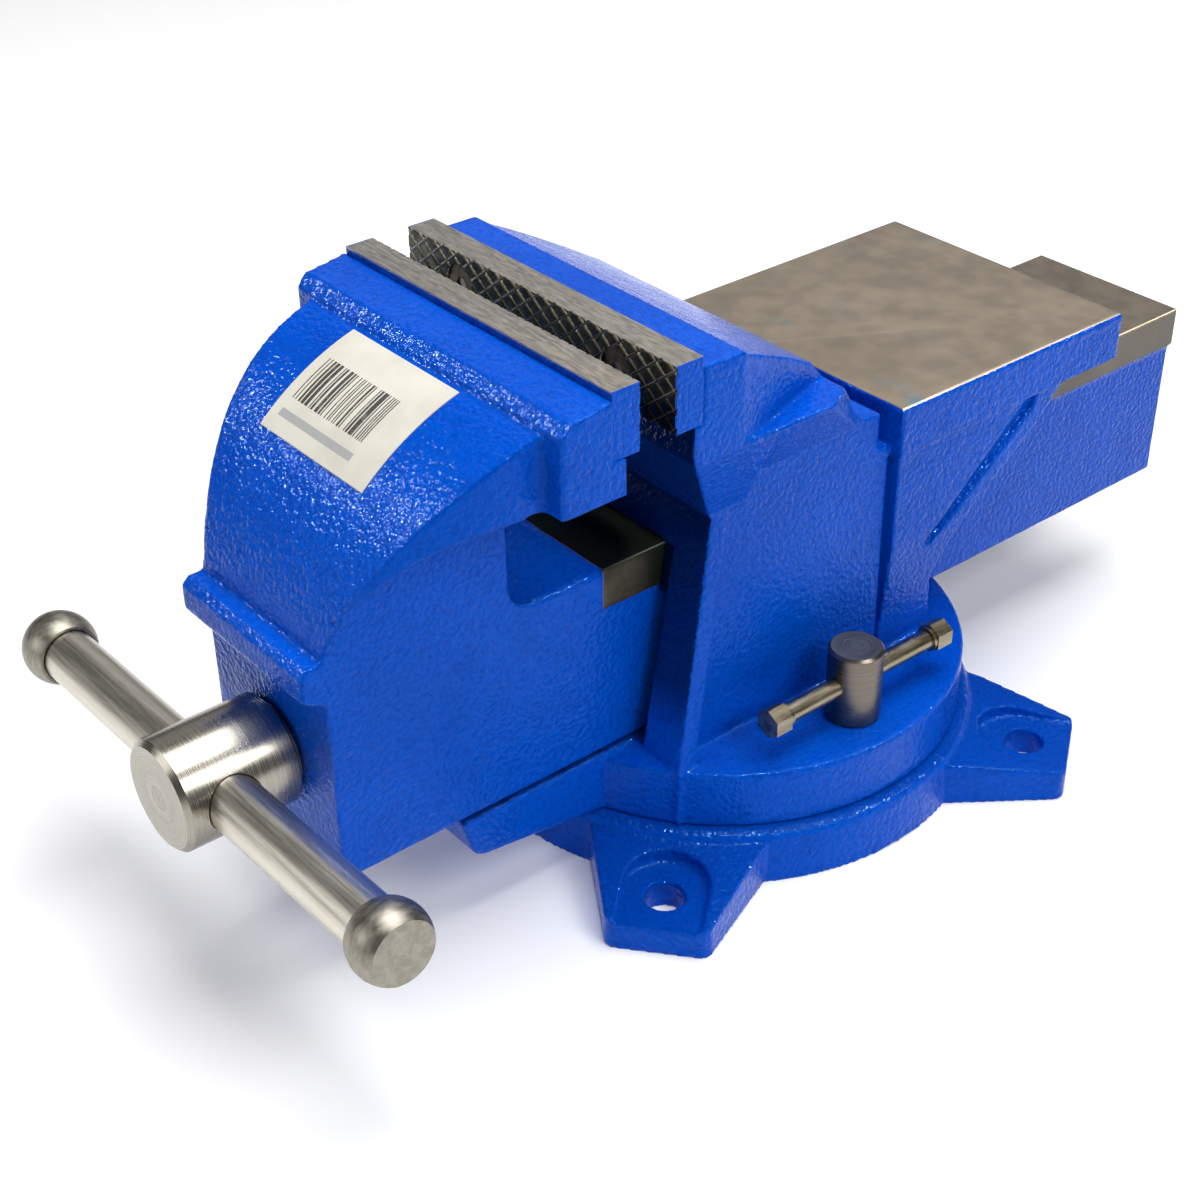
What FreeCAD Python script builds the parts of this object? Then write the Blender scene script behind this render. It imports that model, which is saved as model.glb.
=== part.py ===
import FreeCAD, Part
import math
import os
import re
import Sketcher

# Bench vise with a swivel base, millimetres.
# Frame: origin on the swivel axis at the underside of the base, +Z up, the spindle side towards -Y,
# the jaws' width along X. The vise stands with its jaws a little open.

doc = FreeCAD.newDocument("bench_vise")
dims = doc.addObject("Spreadsheet::Sheet", "dims")

DRIVING = [
    # jaws and their plates
    ("jaw_width", 150, "width of both jaws"),
    ("jaw_top", 226, "height of the plates' top edges"),
    ("plate_height", 25, "height of a jaw plate"),
    ("plate_depth", 12, "thickness of a jaw plate"),
    ("fixed_face", -91, "y of the fixed plate's gripping face"),
    ("jaw_gap", 15, "gap between the plates as the vise stands"),
    ("screw_spacing", 87.5, "distance between a plate's two screws"),
    ("screw_level", 213.5, "height of the plate screws"),
    ("screw_radius", 4, "M8 plate screw"),
    ("screw_head_radius", 7.5, "countersunk head"),
    ("screw_length", 26, "countersunk screw, overall"),
    ("screw_set_back", 1, "the heads lie this far below the gripping face"),
    # slide bar and moving jaw
    ("bar_half", 38, "half width of the painted slide bar"),
    ("band_half", 39, "half width of the machined band along its top"),
    ("bar_bottom", 50.3, "underside of the slide bar"),
    ("bar_top", 132, "machined top of the slide bar"),
    ("paint_step", 0.8, "how far the painted top lies below the machined one"),
    ("band_bottom", 115, "lower edge of the machined band"),
    ("band_front", -93, "front end of the machined band"),
    ("bar_front", -210, "front face of the moving jaw"),
    ("bar_rear", 237.8, "rear end of the slide bar"),
    ("rear_inset", 1.5, "painted rear face lies this far inside the band's end"),
    ("cavity_half", 27, "half width of the open channel under the bar"),
    ("cavity_roof", 118, "roof of that channel"),
    ("front_wall", 14, "thickness of the front wall that carries the spindle"),
    ("neck_rear", -134, "rear face of the neck that carries the jaw"),
    ("neck_cove", 9.2, "cove between neck and bar"),
    ("block_front", -139.5, "front of the moving jaw's cross block"),
    ("block_rear", -112.5, "rear of its lower part, under the plate"),
    ("block_bottom", 187, "underside of the cross block"),
    ("block_edge", 216.5, "top of its front face"),
    ("block_half", 76, "half width of the cross block"),
    ("block_shelf", 223.5, "top of the cross block behind the plate"),
    ("hood_half", 65.6, "half width of the hood at the cross block"),
    ("hood_radius", 99.2, "arched front of the hood, seen from the side"),
    ("arch_back", -114.5, "y of that arch's centre"),
    ("arch_level", 119.2, "height of that arch's centre"),
    ("hood_tip_y", -208.8, "where the hood's wings run out"),
    ("hood_tip", 150, "height of that point"),
    ("hood_under_radius", 52.6, "arched underside of the wings"),
    ("hood_bend_y", -158, "where the underside starts to curve down"),
    ("hood_bend", 185.5, "height of that point"),
    ("hood_taper_y", -149, "where the wings start to narrow"),
    ("hood_plan_radius", 95.3, "curve of the wings seen from above"),
    ("brow_front", -219, "front of the brow under the hood"),
    ("brow_top", 147, "top of the brow"),
    ("brow_bottom", 127, "underside of the brow"),
    # fixed casting
    ("disc_radius", 101.5, "swivel disc under the column"),
    ("disc_top", 48.2, "top of the swivel disc"),
    ("floor_level", 50.2, "bottom of the passage for the slide bar"),
    ("rail_half", 39, "half width of the tongue and passage floor"),
    ("tongue_front", -160, "front of the tongue under the bar"),
    ("column_half", 58, "half width of the column"),
    ("passage_half", 44, "half width of the passage"),
    ("passage_roof", 142, "roof of the passage behind the column"),
    ("fit_gap", 0.05, "running clearance at the guiding faces"),
    ("front_low", -79.5, "front of the column at the disc"),
    ("front_high", -60.5, "front of the column under the jaw"),
    ("front_high_level", 150, "height of that point"),
    ("flange_depth", 9, "thickness of the flange along the column's front edges"),
    ("flange_half_high", 60, "half width of the flange at its top"),
    ("flange_half_low", 66, "half width of the flange at the disc"),
    ("jaw_under", 187, "lower edge of the fixed jaw's cheeks"),
    ("jaw_lip", -82.7, "front of the fixed jaw under its plate"),
    ("corbel_rear", -43, "rear end of the deeper front part of the cheeks"),
    ("cove_level", 160, "where the slanting underside meets the column"),
    ("shelf_level", 222.1, "top of the fixed jaw behind the plate"),
    ("shelf_rear", -60.5, "rear edge of that shelf"),
    ("cheek_radius", 500, "arched back of the fixed jaw"),
    ("cheek_rear", -8, "where the tapering cheeks meet the column's sides"),
    ("ledge_rear", -16, "rear end of the ledges under the cheeks"),
    ("ledge_root", 14, "where those ends meet the column's sides"),
    ("back_radius", 60, "hollow between the jaw's back and the anvil"),
    ("notch_front", 27, "rear face of the column's top"),
    ("notch_floor", 145, "floor of the notch before the anvil"),
    ("anvil_half", 63.7, "half width of the anvil"),
    ("leg_half", 61.4, "half width of the anvil's legs"),
    ("anvil_front", 33, "front face of the anvil"),
    ("anvil_rear", 162.4, "rear face of the anvil"),
    ("anvil_top", 162.5, "top of the anvil"),
    # swivel base
    ("base_radius", 106.5, "top of the base ring"),
    ("base_foot", 108, "foot of the base ring"),
    ("base_height", 23.3, "height of the base ring"),
    ("base_shoulder", 4, "rounding of the ring's top edge"),
    ("lug_circle", 130, "distance of the lug holes from the axis"),
    ("lug_hole", 7.8, "radius of a lug hole"),
    ("lug_edge", 148.7, "distance of a lug's outer edge from the axis"),
    ("lug_edge_half", 19.4, "half length of that edge"),
    ("lug_root_half", 34.8, "half width of a lug where it meets the ring"),
    ("lug_tip", 13.4, "thickness of a lug at its outer edge"),
    ("lug_root", 19, "thickness of a lug at the ring"),
    ("lug_seat", 12, "height of the flat seat round a lug hole"),
    ("lug_seat_radius", 16.5, "half width of that seat"),
    ("lug_turn_front", -50.6, "direction of the front lug, degrees from +X"),
    ("lug_turn_rear", 35, "direction of the rear lug, degrees from +X"),
    ("slot_floor", 4, "floor of the circular T slot"),
    ("slot_roof", 12, "roof of its wide part"),
    ("slot_half", 12.3, "half width of its wide part"),
    ("slot_neck_half", 7, "half width of its neck"),
    ("pivot_radius", 15, "pivot pin"),
    ("pivot_bottom", 8, "lower end of the pivot pin"),
    ("pivot_top", 42, "upper end of the pivot pin"),
    # swivel locks
    ("lock_circle", 79.7, "distance of the lock bolts from the axis"),
    ("lock_back", -1.5, "y of the lock bolts"),
    ("lock_head_radius", 10.9, "head of a lock bolt"),
    ("lock_head_top", 79.8, "top of the head"),
    ("lock_shank", 6, "M12 shank"),
    ("lock_end", 5, "lower end of the shank"),
    ("lock_bar_level", 64.5, "height of the tommy bar"),
    ("lock_bar_radius", 4, "tommy bar"),
    ("lock_bar_half", 48, "half length between the caps' outer faces"),
    ("lock_bar_shift", 2, "the tommy bars stand this far off centre, towards the anvil"),
    ("lock_cap_flats", 10.6, "size of a cap across its flats"),
    ("lock_cap_length", 8, "length of a cap"),
    # spindle, its nut and its handle
    ("spindle_level", 89.5, "height of the spindle's axis"),
    ("spindle_radius", 11, "Tr 22 x 5 thread"),
    ("spindle_end", 215, "rear end of the spindle"),
    ("head_radius", 21, "head of the spindle"),
    ("head_front", -256.5, "front face of the head"),
    ("washer_depth", 2.2, "thrust washer under the head"),
    ("washer_radius", 17.5, "thrust washer under the head"),
    ("handle_y", -238.3, "y of the handle"),
    ("handle_turn", -1.7, "turn of the handle out of level, degrees"),
    ("handle_hole", 10.65, "cross hole through the head"),
    ("handle_radius", 10.3, "handle bar"),
    ("handle_left", -108, "centre of the left knob"),
    ("handle_right", 111.4, "centre of the right knob"),
    ("knob_radius", 14.2, "ball knob"),
    ("knob_flat", 11.8, "radius of the knob's two flats"),
    ("spigot_radius", 6, "turned end of the handle bar inside a knob"),
    ("collar_radius", 17, "retaining collar"),
    ("spring_front", -194, "front end of the spindle spring"),
    ("spring_length", 21, "length of the spindle spring"),
    ("spring_radius", 14.2, "mean radius of the spring"),
    ("wire_radius", 1.7, "spring wire"),
    ("collar_depth", 14, "length of the retaining collar"),
    ("pin_radius", 2.5, "roll pin through the collar"),
    ("nut_front", 16, "front face of the spindle nut"),
    ("nut_depth", 58, "length of the spindle nut"),
    ("nut_half", 19, "half width of the spindle nut"),
    ("nut_foot_half", 25, "half width of its foot"),
    ("nut_foot", 63, "top of its foot"),
    ("nut_bolt_radius", 5, "M10 nut bolt"),
    ("nut_bolt_head", 8, "radius of its head"),
    ("nut_bolt_sink", 36, "seat of the head in the swivel disc"),
    ("nut_bolt_reach", 32, "distance between the two nut bolts"),
    ("nut_bolt_end", 72, "upper end of the nut bolts"),
    ("clamp_half", 11, "half width of a clamp nut"),
    ("clamp_bottom", 4.6, "underside of a clamp nut"),
    ("clamp_top", 11.8, "top of a clamp nut"),
    ("groove_depth", 3, "depth of the cast groove before the anvil"),
    ("groove_width", 2.2, "width of that groove"),
    ("slot_recess", 3, "depth of the cast slots in the anvil's legs"),
    # label
    ("label_half", 30.8, "half width of the blank label"),
    ("label_x", -5, "x of the label's centre"),
    ("label_depth", 0.3, "thickness of the blank label"),
    ("label_low", -182, "y of the label's lower edge"),
    ("label_high", -141.8, "y of the label's upper edge"),
]
ALIASES = {alias for alias, _, _ in DRIVING}
for row, (alias, size, meaning) in enumerate(DRIVING, 1):
    dims.set(f"A{row}", meaning)
    dims.set(f"B{row}", str(size))
    dims.setAlias(f"B{row}", alias)
doc.recompute()


# ---------------------------------------------------------------- drawing helpers

def bound(text):
    """An expression in which each alias points at its cell of the sheet."""
    return re.sub(r"[a-z_]+", lambda m: f"dims.{m[0]}" if m[0] in ALIASES else m[0], text)


def size_of(text):
    """The value that an expression has now, in millimetres."""
    return float(getattr(dims.evalExpression(bound(text)), "Value", dims.evalExpression(bound(text))))


def new_body(name, x="0", y="0", z="0"):
    """A body with its own label, placed at x, y, z."""
    body = doc.addObject("PartDesign::Body", name)
    body.Label = name
    for axis, place in (("x", x), ("y", y), ("z", z)):
        body.setExpression(f"Placement.Base.{axis}", bound(place))
    return body


def new_sketch(body, plane, name, offset="0"):
    """A sketch on one of the body's own planes, moved along that plane's normal."""
    sketch = body.newObject("Sketcher::SketchObject", name)
    planes = {o.Role: o for o in body.Origin.OriginFeatures}
    sketch.AttachmentSupport = [(planes[plane], "")]
    sketch.MapMode = "FlatFace"
    sketch.setExpression("AttachmentOffset.Base.z", bound(offset))
    return sketch


def fix(sketch, kind, geometry, point, text):
    """Hold one coordinate of a point at an expression."""
    value = size_of(text)
    if abs(value) < 1e-9:
        axis = -2 if kind == "DistanceX" else -1
        sketch.addConstraint(Sketcher.Constraint("PointOnObject", geometry, point, axis))
        return
    index = sketch.addConstraint(Sketcher.Constraint(kind, -1, 1, geometry, point, value))
    sketch.setExpression(f"Constraints[{index}]", bound(text))


def draw_outline(sketch, corners):
    """A closed outline, drawn anticlockwise through (u, v) corners.

    A corner (u, v, radius) starts an arc to the next corner: outward, or hollow with a minus sign.
    """
    points = [FreeCAD.Vector(size_of(c[0]), size_of(c[1]), 0) for c in corners]
    first = sketch.GeometryCount
    ends = []
    for i, corner in enumerate(corners):
        start, stop = points[i], points[(i + 1) % len(points)]
        if len(corner) == 2:
            sketch.addGeometry(Part.LineSegment(start, stop), False)
            ends.append((1, 2))
            continue
        radius = abs(size_of(corner[2]))
        hollow = size_of(corner[2]) < 0
        chord = stop - start
        left = FreeCAD.Vector(-chord.y, chord.x, 0).normalize()
        reach = math.sqrt(radius**2 - (chord.Length / 2) ** 2)
        centre = start + chord * 0.5 + left * (-reach if hollow else reach)
        a, b = (stop, start) if hollow else (start, stop)
        angle = [math.atan2(p.y - centre.y, p.x - centre.x) for p in (a, b)]
        circle = Part.Circle(centre, FreeCAD.Vector(0, 0, 1), radius)
        sketch.addGeometry(Part.ArcOfCircle(circle, *angle), False)
        ends.append((2, 1) if hollow else (1, 2))
    for i, corner in enumerate(corners):
        after = (i + 1) % len(corners)
        joint = Sketcher.Constraint("Coincident", first + i, ends[i][1], first + after, ends[after][0])
        sketch.addConstraint(joint)
        fix(sketch, "DistanceX", first + i, ends[i][0], corner[0])
        fix(sketch, "DistanceY", first + i, ends[i][0], corner[1])
        if len(corner) == 3:
            radius = abs(size_of(corner[2]))
            index = sketch.addConstraint(Sketcher.Constraint("Radius", first + i, radius))
            sketch.setExpression(f"Constraints[{index}]", bound(f"abs({corner[2]})"))


def draw_circle(sketch, u, v, radius):
    """A full circle at (u, v)."""
    centre = FreeCAD.Vector(size_of(u), size_of(v), 0)
    index = sketch.addGeometry(Part.Circle(centre, FreeCAD.Vector(0, 0, 1), size_of(radius)), False)
    fix(sketch, "DistanceX", index, 3, u)
    fix(sketch, "DistanceY", index, 3, v)
    held = sketch.addConstraint(Sketcher.Constraint("Radius", index, size_of(radius)))
    sketch.setExpression(f"Constraints[{held}]", bound(radius))


def outline(body, plane, name, *loops, offset="0"):
    sketch = new_sketch(body, plane, name, offset)
    for corners in loops:
        draw_outline(sketch, corners)
    return sketch


def circles(body, plane, name, *rounds, offset="0"):
    sketch = new_sketch(body, plane, name, offset)
    for u, v, radius in rounds:
        draw_circle(sketch, u, v, radius)
    return sketch


def box(half, low, high):
    """Corners of an upright rectangle, centred on the v axis."""
    return [(f"-({half})", low), (half, low), (half, high), (f"-({half})", high)]


def mirrored(corners):
    """The same outline on the other side of the v axis, still anticlockwise."""
    return [(f"-({u})", v) for u, v in reversed(corners)]


def pad(body, name, sketch, length, symmetric=False, reverse=False):
    feature = body.newObject("PartDesign::Pad", name)
    feature.Profile = sketch
    feature.SideType = "Symmetric" if symmetric else "One side"
    feature.Reversed = reverse
    feature.setExpression("Length", bound(length))
    return feature


def pocket(body, name, sketch, length=None, symmetric=False, reverse=False):
    """Cut away a sketch, through everything when no length is given."""
    feature = body.newObject("PartDesign::Pocket", name)
    feature.Profile = sketch
    feature.SideType = "Symmetric" if symmetric else "One side"
    feature.Reversed = reverse
    if length is None:
        feature.Type = "ThroughAll"
    else:
        feature.setExpression("Length", bound(length))
    return feature


def turn(body, name, sketch, axis, groove=False):
    """Turn a sketch through a full circle about its own H_Axis or V_Axis."""
    feature = body.newObject("PartDesign::Groove" if groove else "PartDesign::Revolution", name)
    feature.Profile = sketch
    feature.ReferenceAxis = (sketch, [axis])
    feature.Angle = 360
    return feature


def round_edges(body, name, radius, chosen):
    """Fillet the edges of the body for which chosen(edge) is true."""
    doc.recompute()
    base = body.Tip
    edges = [f"Edge{i}" for i, edge in enumerate(base.Shape.Edges, 1) if chosen(edge)]
    if not edges:
        raise RuntimeError(f"{body.Label}: {name} finds no edge")
    feature = body.newObject("PartDesign::Fillet", name)
    feature.Base = (base, edges)
    feature.setExpression("Radius", bound(radius))
    doc.recompute()
    if "Invalid" in feature.State:
        raise RuntimeError(f"{body.Label}: {name} fails")
    return feature


def chamfer_edges(body, name, size, chosen):
    doc.recompute()
    base = body.Tip
    edges = [f"Edge{i}" for i, edge in enumerate(base.Shape.Edges, 1) if chosen(edge)]
    if not edges:
        raise RuntimeError(f"{body.Label}: {name} finds no edge")
    feature = body.newObject("PartDesign::Chamfer", name)
    feature.Base = (base, edges)
    feature.setExpression("Size", bound(size))
    doc.recompute()
    return feature


def middle(edge):
    return edge.valueAt((edge.FirstParameter + edge.LastParameter) / 2)


def near(value, text, slack=0.05):
    return abs(value - size_of(text)) < slack


def group(name, bodies):
    """Identical pieces that share one node, as separate solids."""
    compound = doc.addObject("Part::Compound", name)
    compound.Label = name
    compound.Links = bodies
    return compound


# ---------------------------------------------------------------- swivel base

def make_swivel_base():
    """Ring with four lugs, a circular T slot for the clamp nuts and a blind socket for the pivot pin."""
    body = new_body("swivel_base")
    ring = outline(
        body, "XZ_Plane", "ring_section",
        [("0", "0"), ("base_foot", "0"), ("base_radius", "base_height"), ("0", "base_height")],
    )
    turn(body, "base_ring", ring, "V_Axis")
    round_edges(body, "ring_shoulder", "base_shoulder", lambda e: near(middle(e).z, "base_height"))
    inside = "base_radius - 12"
    for name, direction in (("front", "lug_turn_front"), ("rear", "lug_turn_rear")):
        lug = outline(
            body, "XY_Plane", f"{name}_lug_outline",
            [(inside, "-lug_root_half - 2"), ("lug_edge", "-lug_edge_half"),
             ("lug_edge", "lug_edge_half"), (inside, "lug_root_half + 2")],
        )
        slope = outline(
            body, "XZ_Plane", f"{name}_lug_slope",
            [("base_radius", "lug_root"), ("lug_edge + 1", "lug_tip"),
             ("lug_edge + 1", "lug_root + 9"), ("base_radius", "lug_root + 9")],
        )
        seat = outline(
            body, "XY_Plane", f"{name}_lug_seat",
            [("lug_circle - 3", "-lug_seat_radius"), ("lug_edge + 9", "-lug_seat_radius"),
             ("lug_edge + 9", "lug_seat_radius"),
             ("lug_circle - 3", "lug_seat_radius", "lug_seat_radius + 0.001")],
            offset="lug_seat",
        )
        hole = circles(body, "XY_Plane", f"{name}_lug_hole", ("lug_circle", "0", "lug_hole"))
        for sketch in (lug, seat, hole):
            sketch.AttachmentOffset = FreeCAD.Placement(
                sketch.AttachmentOffset.Base, FreeCAD.Rotation(FreeCAD.Vector(0, 0, 1), 1))
            sketch.setExpression("AttachmentOffset.Rotation.Angle", bound(direction))
        slope.AttachmentOffset = FreeCAD.Placement(
            slope.AttachmentOffset.Base, FreeCAD.Rotation(FreeCAD.Vector(0, 1, 0), 1))
        slope.setExpression("AttachmentOffset.Rotation.Angle", bound(direction))
        pairs = []
        pairs.append(pad(body, f"{name}_lug", lug, "lug_root"))
        pairs.append(pocket(body, f"{name}_lug_top", slope, "4 * lug_root_half", symmetric=True))
        pairs.append(pocket(body, f"{name}_lug_spot_face", seat, "lug_root", reverse=True))
        pairs.append(pocket(body, f"{name}_lug_bore", hole, None, reverse=True))
        opposite = body.newObject("PartDesign::PolarPattern", f"{name}_lug_opposite")
        opposite.Originals = pairs
        opposite.Axis = (lug, ["N_Axis"])
        opposite.Angle = 360
        opposite.Occurrences = 2
        body.Tip = opposite
    slot = outline(
        body, "XZ_Plane", "slot_section",
        [("lock_circle - slot_half", "slot_floor"), ("lock_circle + slot_half", "slot_floor"),
         ("lock_circle + slot_half", "slot_roof"), ("lock_circle + slot_neck_half", "slot_roof"),
         ("lock_circle + slot_neck_half", "base_height + 1"),
         ("lock_circle - slot_neck_half", "base_height + 1"),
         ("lock_circle - slot_neck_half", "slot_roof"), ("lock_circle - slot_half", "slot_roof")],
    )
    turn(body, "t_slot", slot, "V_Axis", groove=True)
    # the clamp nuts go in through two ports in the slot's floor
    port = circles(
        body, "XY_Plane", "port_outline",
        ("0", "lock_circle", "slot_half + 2"), ("0", "-lock_circle", "slot_half + 2"),
    )
    pocket(body, "nut_ports", port, "slot_floor", reverse=True)
    socket = circles(body, "XY_Plane", "socket_outline", ("0", "0", "pivot_radius"), offset="base_height")
    pocket(body, "pivot_socket", socket, "base_height - pivot_bottom")

    def lug_corner(edge):
        """The upright edges at a lug's two outer corners."""
        point = middle(edge)
        upright = abs(edge.tangentAt(edge.FirstParameter).z) > 0.99
        return upright and near(math.hypot(point.x, point.y), "sqrt(lug_edge ^ 2 + lug_edge_half ^ 2)", 0.3)

    round_edges(body, "lug_corners", "5", lug_corner)
    return body


def make_pivot_pin():
    """Plain pin that centres the swivel disc on the base."""
    body = new_body("pivot_pin")
    section = outline(
        body, "XZ_Plane", "pin_section",
        [("0", "pivot_bottom"), ("pivot_radius - 1", "pivot_bottom"), ("pivot_radius", "pivot_bottom + 1"),
         ("pivot_radius", "pivot_top - 1"), ("pivot_radius - 1", "pivot_top"), ("0", "pivot_top")],
    )
    turn(body, "pin", section, "V_Axis")
    return body


# ---------------------------------------------------------------- fixed casting

def make_vise_body():
    """Swivel disc, column, fixed jaw, anvil and tongue: one casting, open along Y for the slide bar."""
    body = new_body("vise_body")
    lean = "(front_high - front_low) / (front_high_level - disc_top)"

    # flange along the leaning front edge of the column, wider at its foot
    flange = outline(
        body, "YZ_Plane", "flange_side",
        [("front_low", "base_height + fit_gap"), ("front_low + flange_depth", "base_height + fit_gap"),
         ("front_low + flange_depth", "disc_top"), ("front_high + flange_depth", "front_high_level"),
         ("front_high", "front_high_level"), ("front_low", "disc_top")],
    )
    pad(body, "flange", flange, "2 * flange_half_low", symmetric=True)
    trim = [("flange_half_low", "disc_top"), ("flange_half_low + 20", "disc_top"),
            ("flange_half_low + 20", "front_high_level + 10"), ("flange_half_high", "front_high_level + 10"),
            ("flange_half_high", "front_high_level")]
    pocket(body, "flange_taper", outline(body, "XZ_Plane", "flange_trim", trim, mirrored(trim)),
           "400", symmetric=True)

    # jaw: cheeks with an arched back that runs down to the anvil
    jaw = outline(
        body, "YZ_Plane", "jaw_side",
        [("front_high", "front_high_level"), ("notch_front", "front_high_level"),
         ("notch_front", "anvil_top - 1"), ("18.5", "anvil_top - 0.7", "-back_radius"),
         ("1.5", "180"), ("-13", "196", "cheek_radius"), ("shelf_rear + 2", "shelf_level - 2.2"),
         ("shelf_rear", "shelf_level"), ("fixed_face + plate_depth", "shelf_level"),
         ("fixed_face + plate_depth", "jaw_top - plate_height"), ("jaw_lip", "jaw_top - plate_height"),
         ("jaw_lip", "jaw_under")],
    )
    pad(body, "jaw", jaw, "jaw_width", symmetric=True)
    side = [("column_half", "front_high_level - 5"), ("jaw_width", "front_high_level - 5"),
            ("jaw_width", "jaw_under - 1.5"), ("jaw_width / 2", "jaw_under - 1.5"),
            ("column_half", "cove_level")]
    pocket(body, "jaw_underside",
           outline(body, "XZ_Plane", "jaw_side_cut", side, mirrored(side), offset="-corbel_rear"), "200")
    front_side = [("flange_half_high", "front_high_level"), ("jaw_width", "front_high_level"),
                  ("jaw_width", "jaw_under - 1.5"), ("jaw_width / 2", "jaw_under - 1.5"),
                  ("flange_half_high", "front_high_level + 2")]
    front_cut = outline(body, "XZ_Plane", "jaw_front_cut", front_side, mirrored(front_side),
                        offset="-corbel_rear")
    pocket(body, "jaw_front_underside", front_cut, "100", reverse=True)

    # the cheeks narrow towards the anvil above a ledge, and the ledge ends at a slant
    beyond = [("jaw_width", "notch_front + 1"), ("column_half", "notch_front + 1")]
    for name, start, root, low, high in (
        ("cheek_taper", "shelf_rear", "cheek_rear", "jaw_under", "jaw_top"),
        ("ledge_ends", "ledge_rear", "ledge_root", "front_high_level", "jaw_under + 1"),
    ):
        slant = [("jaw_width / 2", start), ("jaw_width", start), *beyond, ("column_half", root)]
        plan = outline(body, "XY_Plane", f"{name}_plan", slant, mirrored(slant), offset=low)
        pocket(body, name, plan, f"{high} - ({low})", reverse=True)

    # column between the disc and the jaw
    column = outline(
        body, "YZ_Plane", "column_side",
        [("front_low + 2", "base_height + 5"), ("anvil_front", "base_height + 5"),
         ("anvil_front", "notch_floor"), ("notch_front", "notch_floor"),
         ("notch_front", "front_high_level + 5"), ("front_high + 2", "front_high_level + 5")],
    )
    pad(body, "column", column, "2 * column_half", symmetric=True)

    # swivel disc, and the tongue that reaches forward under the bar
    disc = circles(body, "XY_Plane", "disc_outline", ("0", "0", "disc_radius"),
                   offset="base_height + fit_gap")
    pad(body, "disc", disc, "disc_top - base_height - fit_gap")
    tongue = outline(
        body, "YZ_Plane", "tongue_side",
        [("tongue_front + 4.5", "35", "8"), ("tongue_front + 11", "30.8"), ("-92", "base_height + fit_gap"),
         ("60", "base_height + fit_gap"), ("66", "floor_level"), ("tongue_front", "floor_level")],
    )
    pad(body, "tongue", tongue, "2 * rail_half", symmetric=True)

    # anvil: thick top plate on two side legs that slope back to the disc
    plate = outline(body, "XZ_Plane", "anvil_section", box("anvil_half", "passage_roof", "anvil_top"),
                    offset="-anvil_rear")
    pad(body, "anvil_plate", plate, "anvil_rear - anvil_front")
    leg = outline(
        body, "YZ_Plane", "leg_side",
        [("anvil_front", "disc_top - 4"), ("66.6", "disc_top - 4"), ("62.5", "75.6"), ("76.3", "95.5"),
         ("96.2", "110.8"), ("116.4", "125.1"), ("134", "passage_roof + 1"),
         ("anvil_front", "passage_roof + 1")],
    )
    pad(body, "anvil_legs", leg, "2 * leg_half", symmetric=True)
    leg_trim = [("column_half - 1", "disc_top"), ("leg_half + 9", "disc_top"),
                ("leg_half + 9", "100"), ("leg_half", "100")]
    pocket(body, "leg_taper", outline(body, "XZ_Plane", "leg_trim", leg_trim, mirrored(leg_trim),
                                      offset="-anvil_front"), "120")

    # passage for the slide bar: guided at the band, free below it and behind the column
    guide = outline(
        body, "XZ_Plane", "passage_section",
        [("-passage_half", "floor_level"), ("passage_half", "floor_level"),
         ("passage_half", "band_bottom - 2"),
         ("band_half + fit_gap", "band_bottom - 2"), ("band_half + fit_gap", "bar_top + fit_gap"),
         ("-band_half - fit_gap", "bar_top + fit_gap"), ("-band_half - fit_gap", "band_bottom - 2"),
         ("-passage_half", "band_bottom - 2")],
    )
    pocket(body, "passage", guide, None, symmetric=True)
    behind = outline(body, "XZ_Plane", "rear_passage_section",
                     box("passage_half", "floor_level", "passage_roof"), offset="-anvil_front")
    pocket(body, "rear_passage", behind, None)

    # cast groove where the column meets the anvil, and a slot in each leg
    line = [("column_half - groove_depth", "anvil_front - 0.1"), ("anvil_half + 1", "anvil_front - 0.1"),
            ("anvil_half + 1", "anvil_front + groove_width"), ("column_half - groove_depth",
                                                                "anvil_front + groove_width")]
    pocket(body, "front_groove", outline(body, "XY_Plane", "groove_outline", line, mirrored(line),
                                         offset="passage_roof"), "passage_roof - disc_top")
    recess = [("55", "94"), ("58.5", "92.5"), ("113.5", "136"), ("115", "142"), ("109", "140")]
    for name, start in (("right", "leg_half - slot_recess"), ("left", "-leg_half + slot_recess")):
        slot = outline(body, "YZ_Plane", f"{name}_slot_outline", recess, offset=start)
        pocket(body, f"{name}_leg_slot", slot, "20", reverse=name == "right")

    # bores: pivot socket, lock bolts, nut bolts with counterbores, jaw plate screws
    low = "base_height + fit_gap"
    socket = circles(body, "XY_Plane", "socket_outline", ("0", "0", "pivot_radius + fit_gap"), offset=low)
    pocket(body, "pivot_socket", socket, f"pivot_top + 0.5 - ({low})", reverse=True)
    locks = circles(
        body, "XY_Plane", "lock_bores",
        ("lock_circle", "lock_back", "lock_shank + 0.1"), ("-lock_circle", "lock_back", "lock_shank + 0.1"),
        offset="disc_top",
    )
    pocket(body, "lock_bolt_bores", locks, "40")
    rows = [f"nut_front + nut_depth / 2 {sign} nut_bolt_reach / 2" for sign in "-+"]
    for name, radius, depth in (
        ("nut_bolt_sinks", "nut_bolt_head + 0.5", f"nut_bolt_sink - ({low})"),
        ("nut_bolt_bores", "nut_bolt_radius + 0.25", f"floor_level + 1 - ({low})"),
    ):
        rounds = circles(body, "XY_Plane", f"{name}_outline", *[("0", v, radius) for v in rows], offset=low)
        pocket(body, name, rounds, depth, reverse=True)
    plate_screw_bores(body, "-(fixed_face + plate_depth)", reverse=False)

    round_edges(body, "anvil_edges", "1.6", lambda e: near(middle(e).z, "anvil_top")
                and middle(e).y > size_of("anvil_front") + 5)
    round_edges(body, "disc_edge", "1.5", lambda e: near(middle(e).z, "disc_top")
                and near(math.hypot(middle(e).x, middle(e).y), "disc_radius"))
    return body


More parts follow.
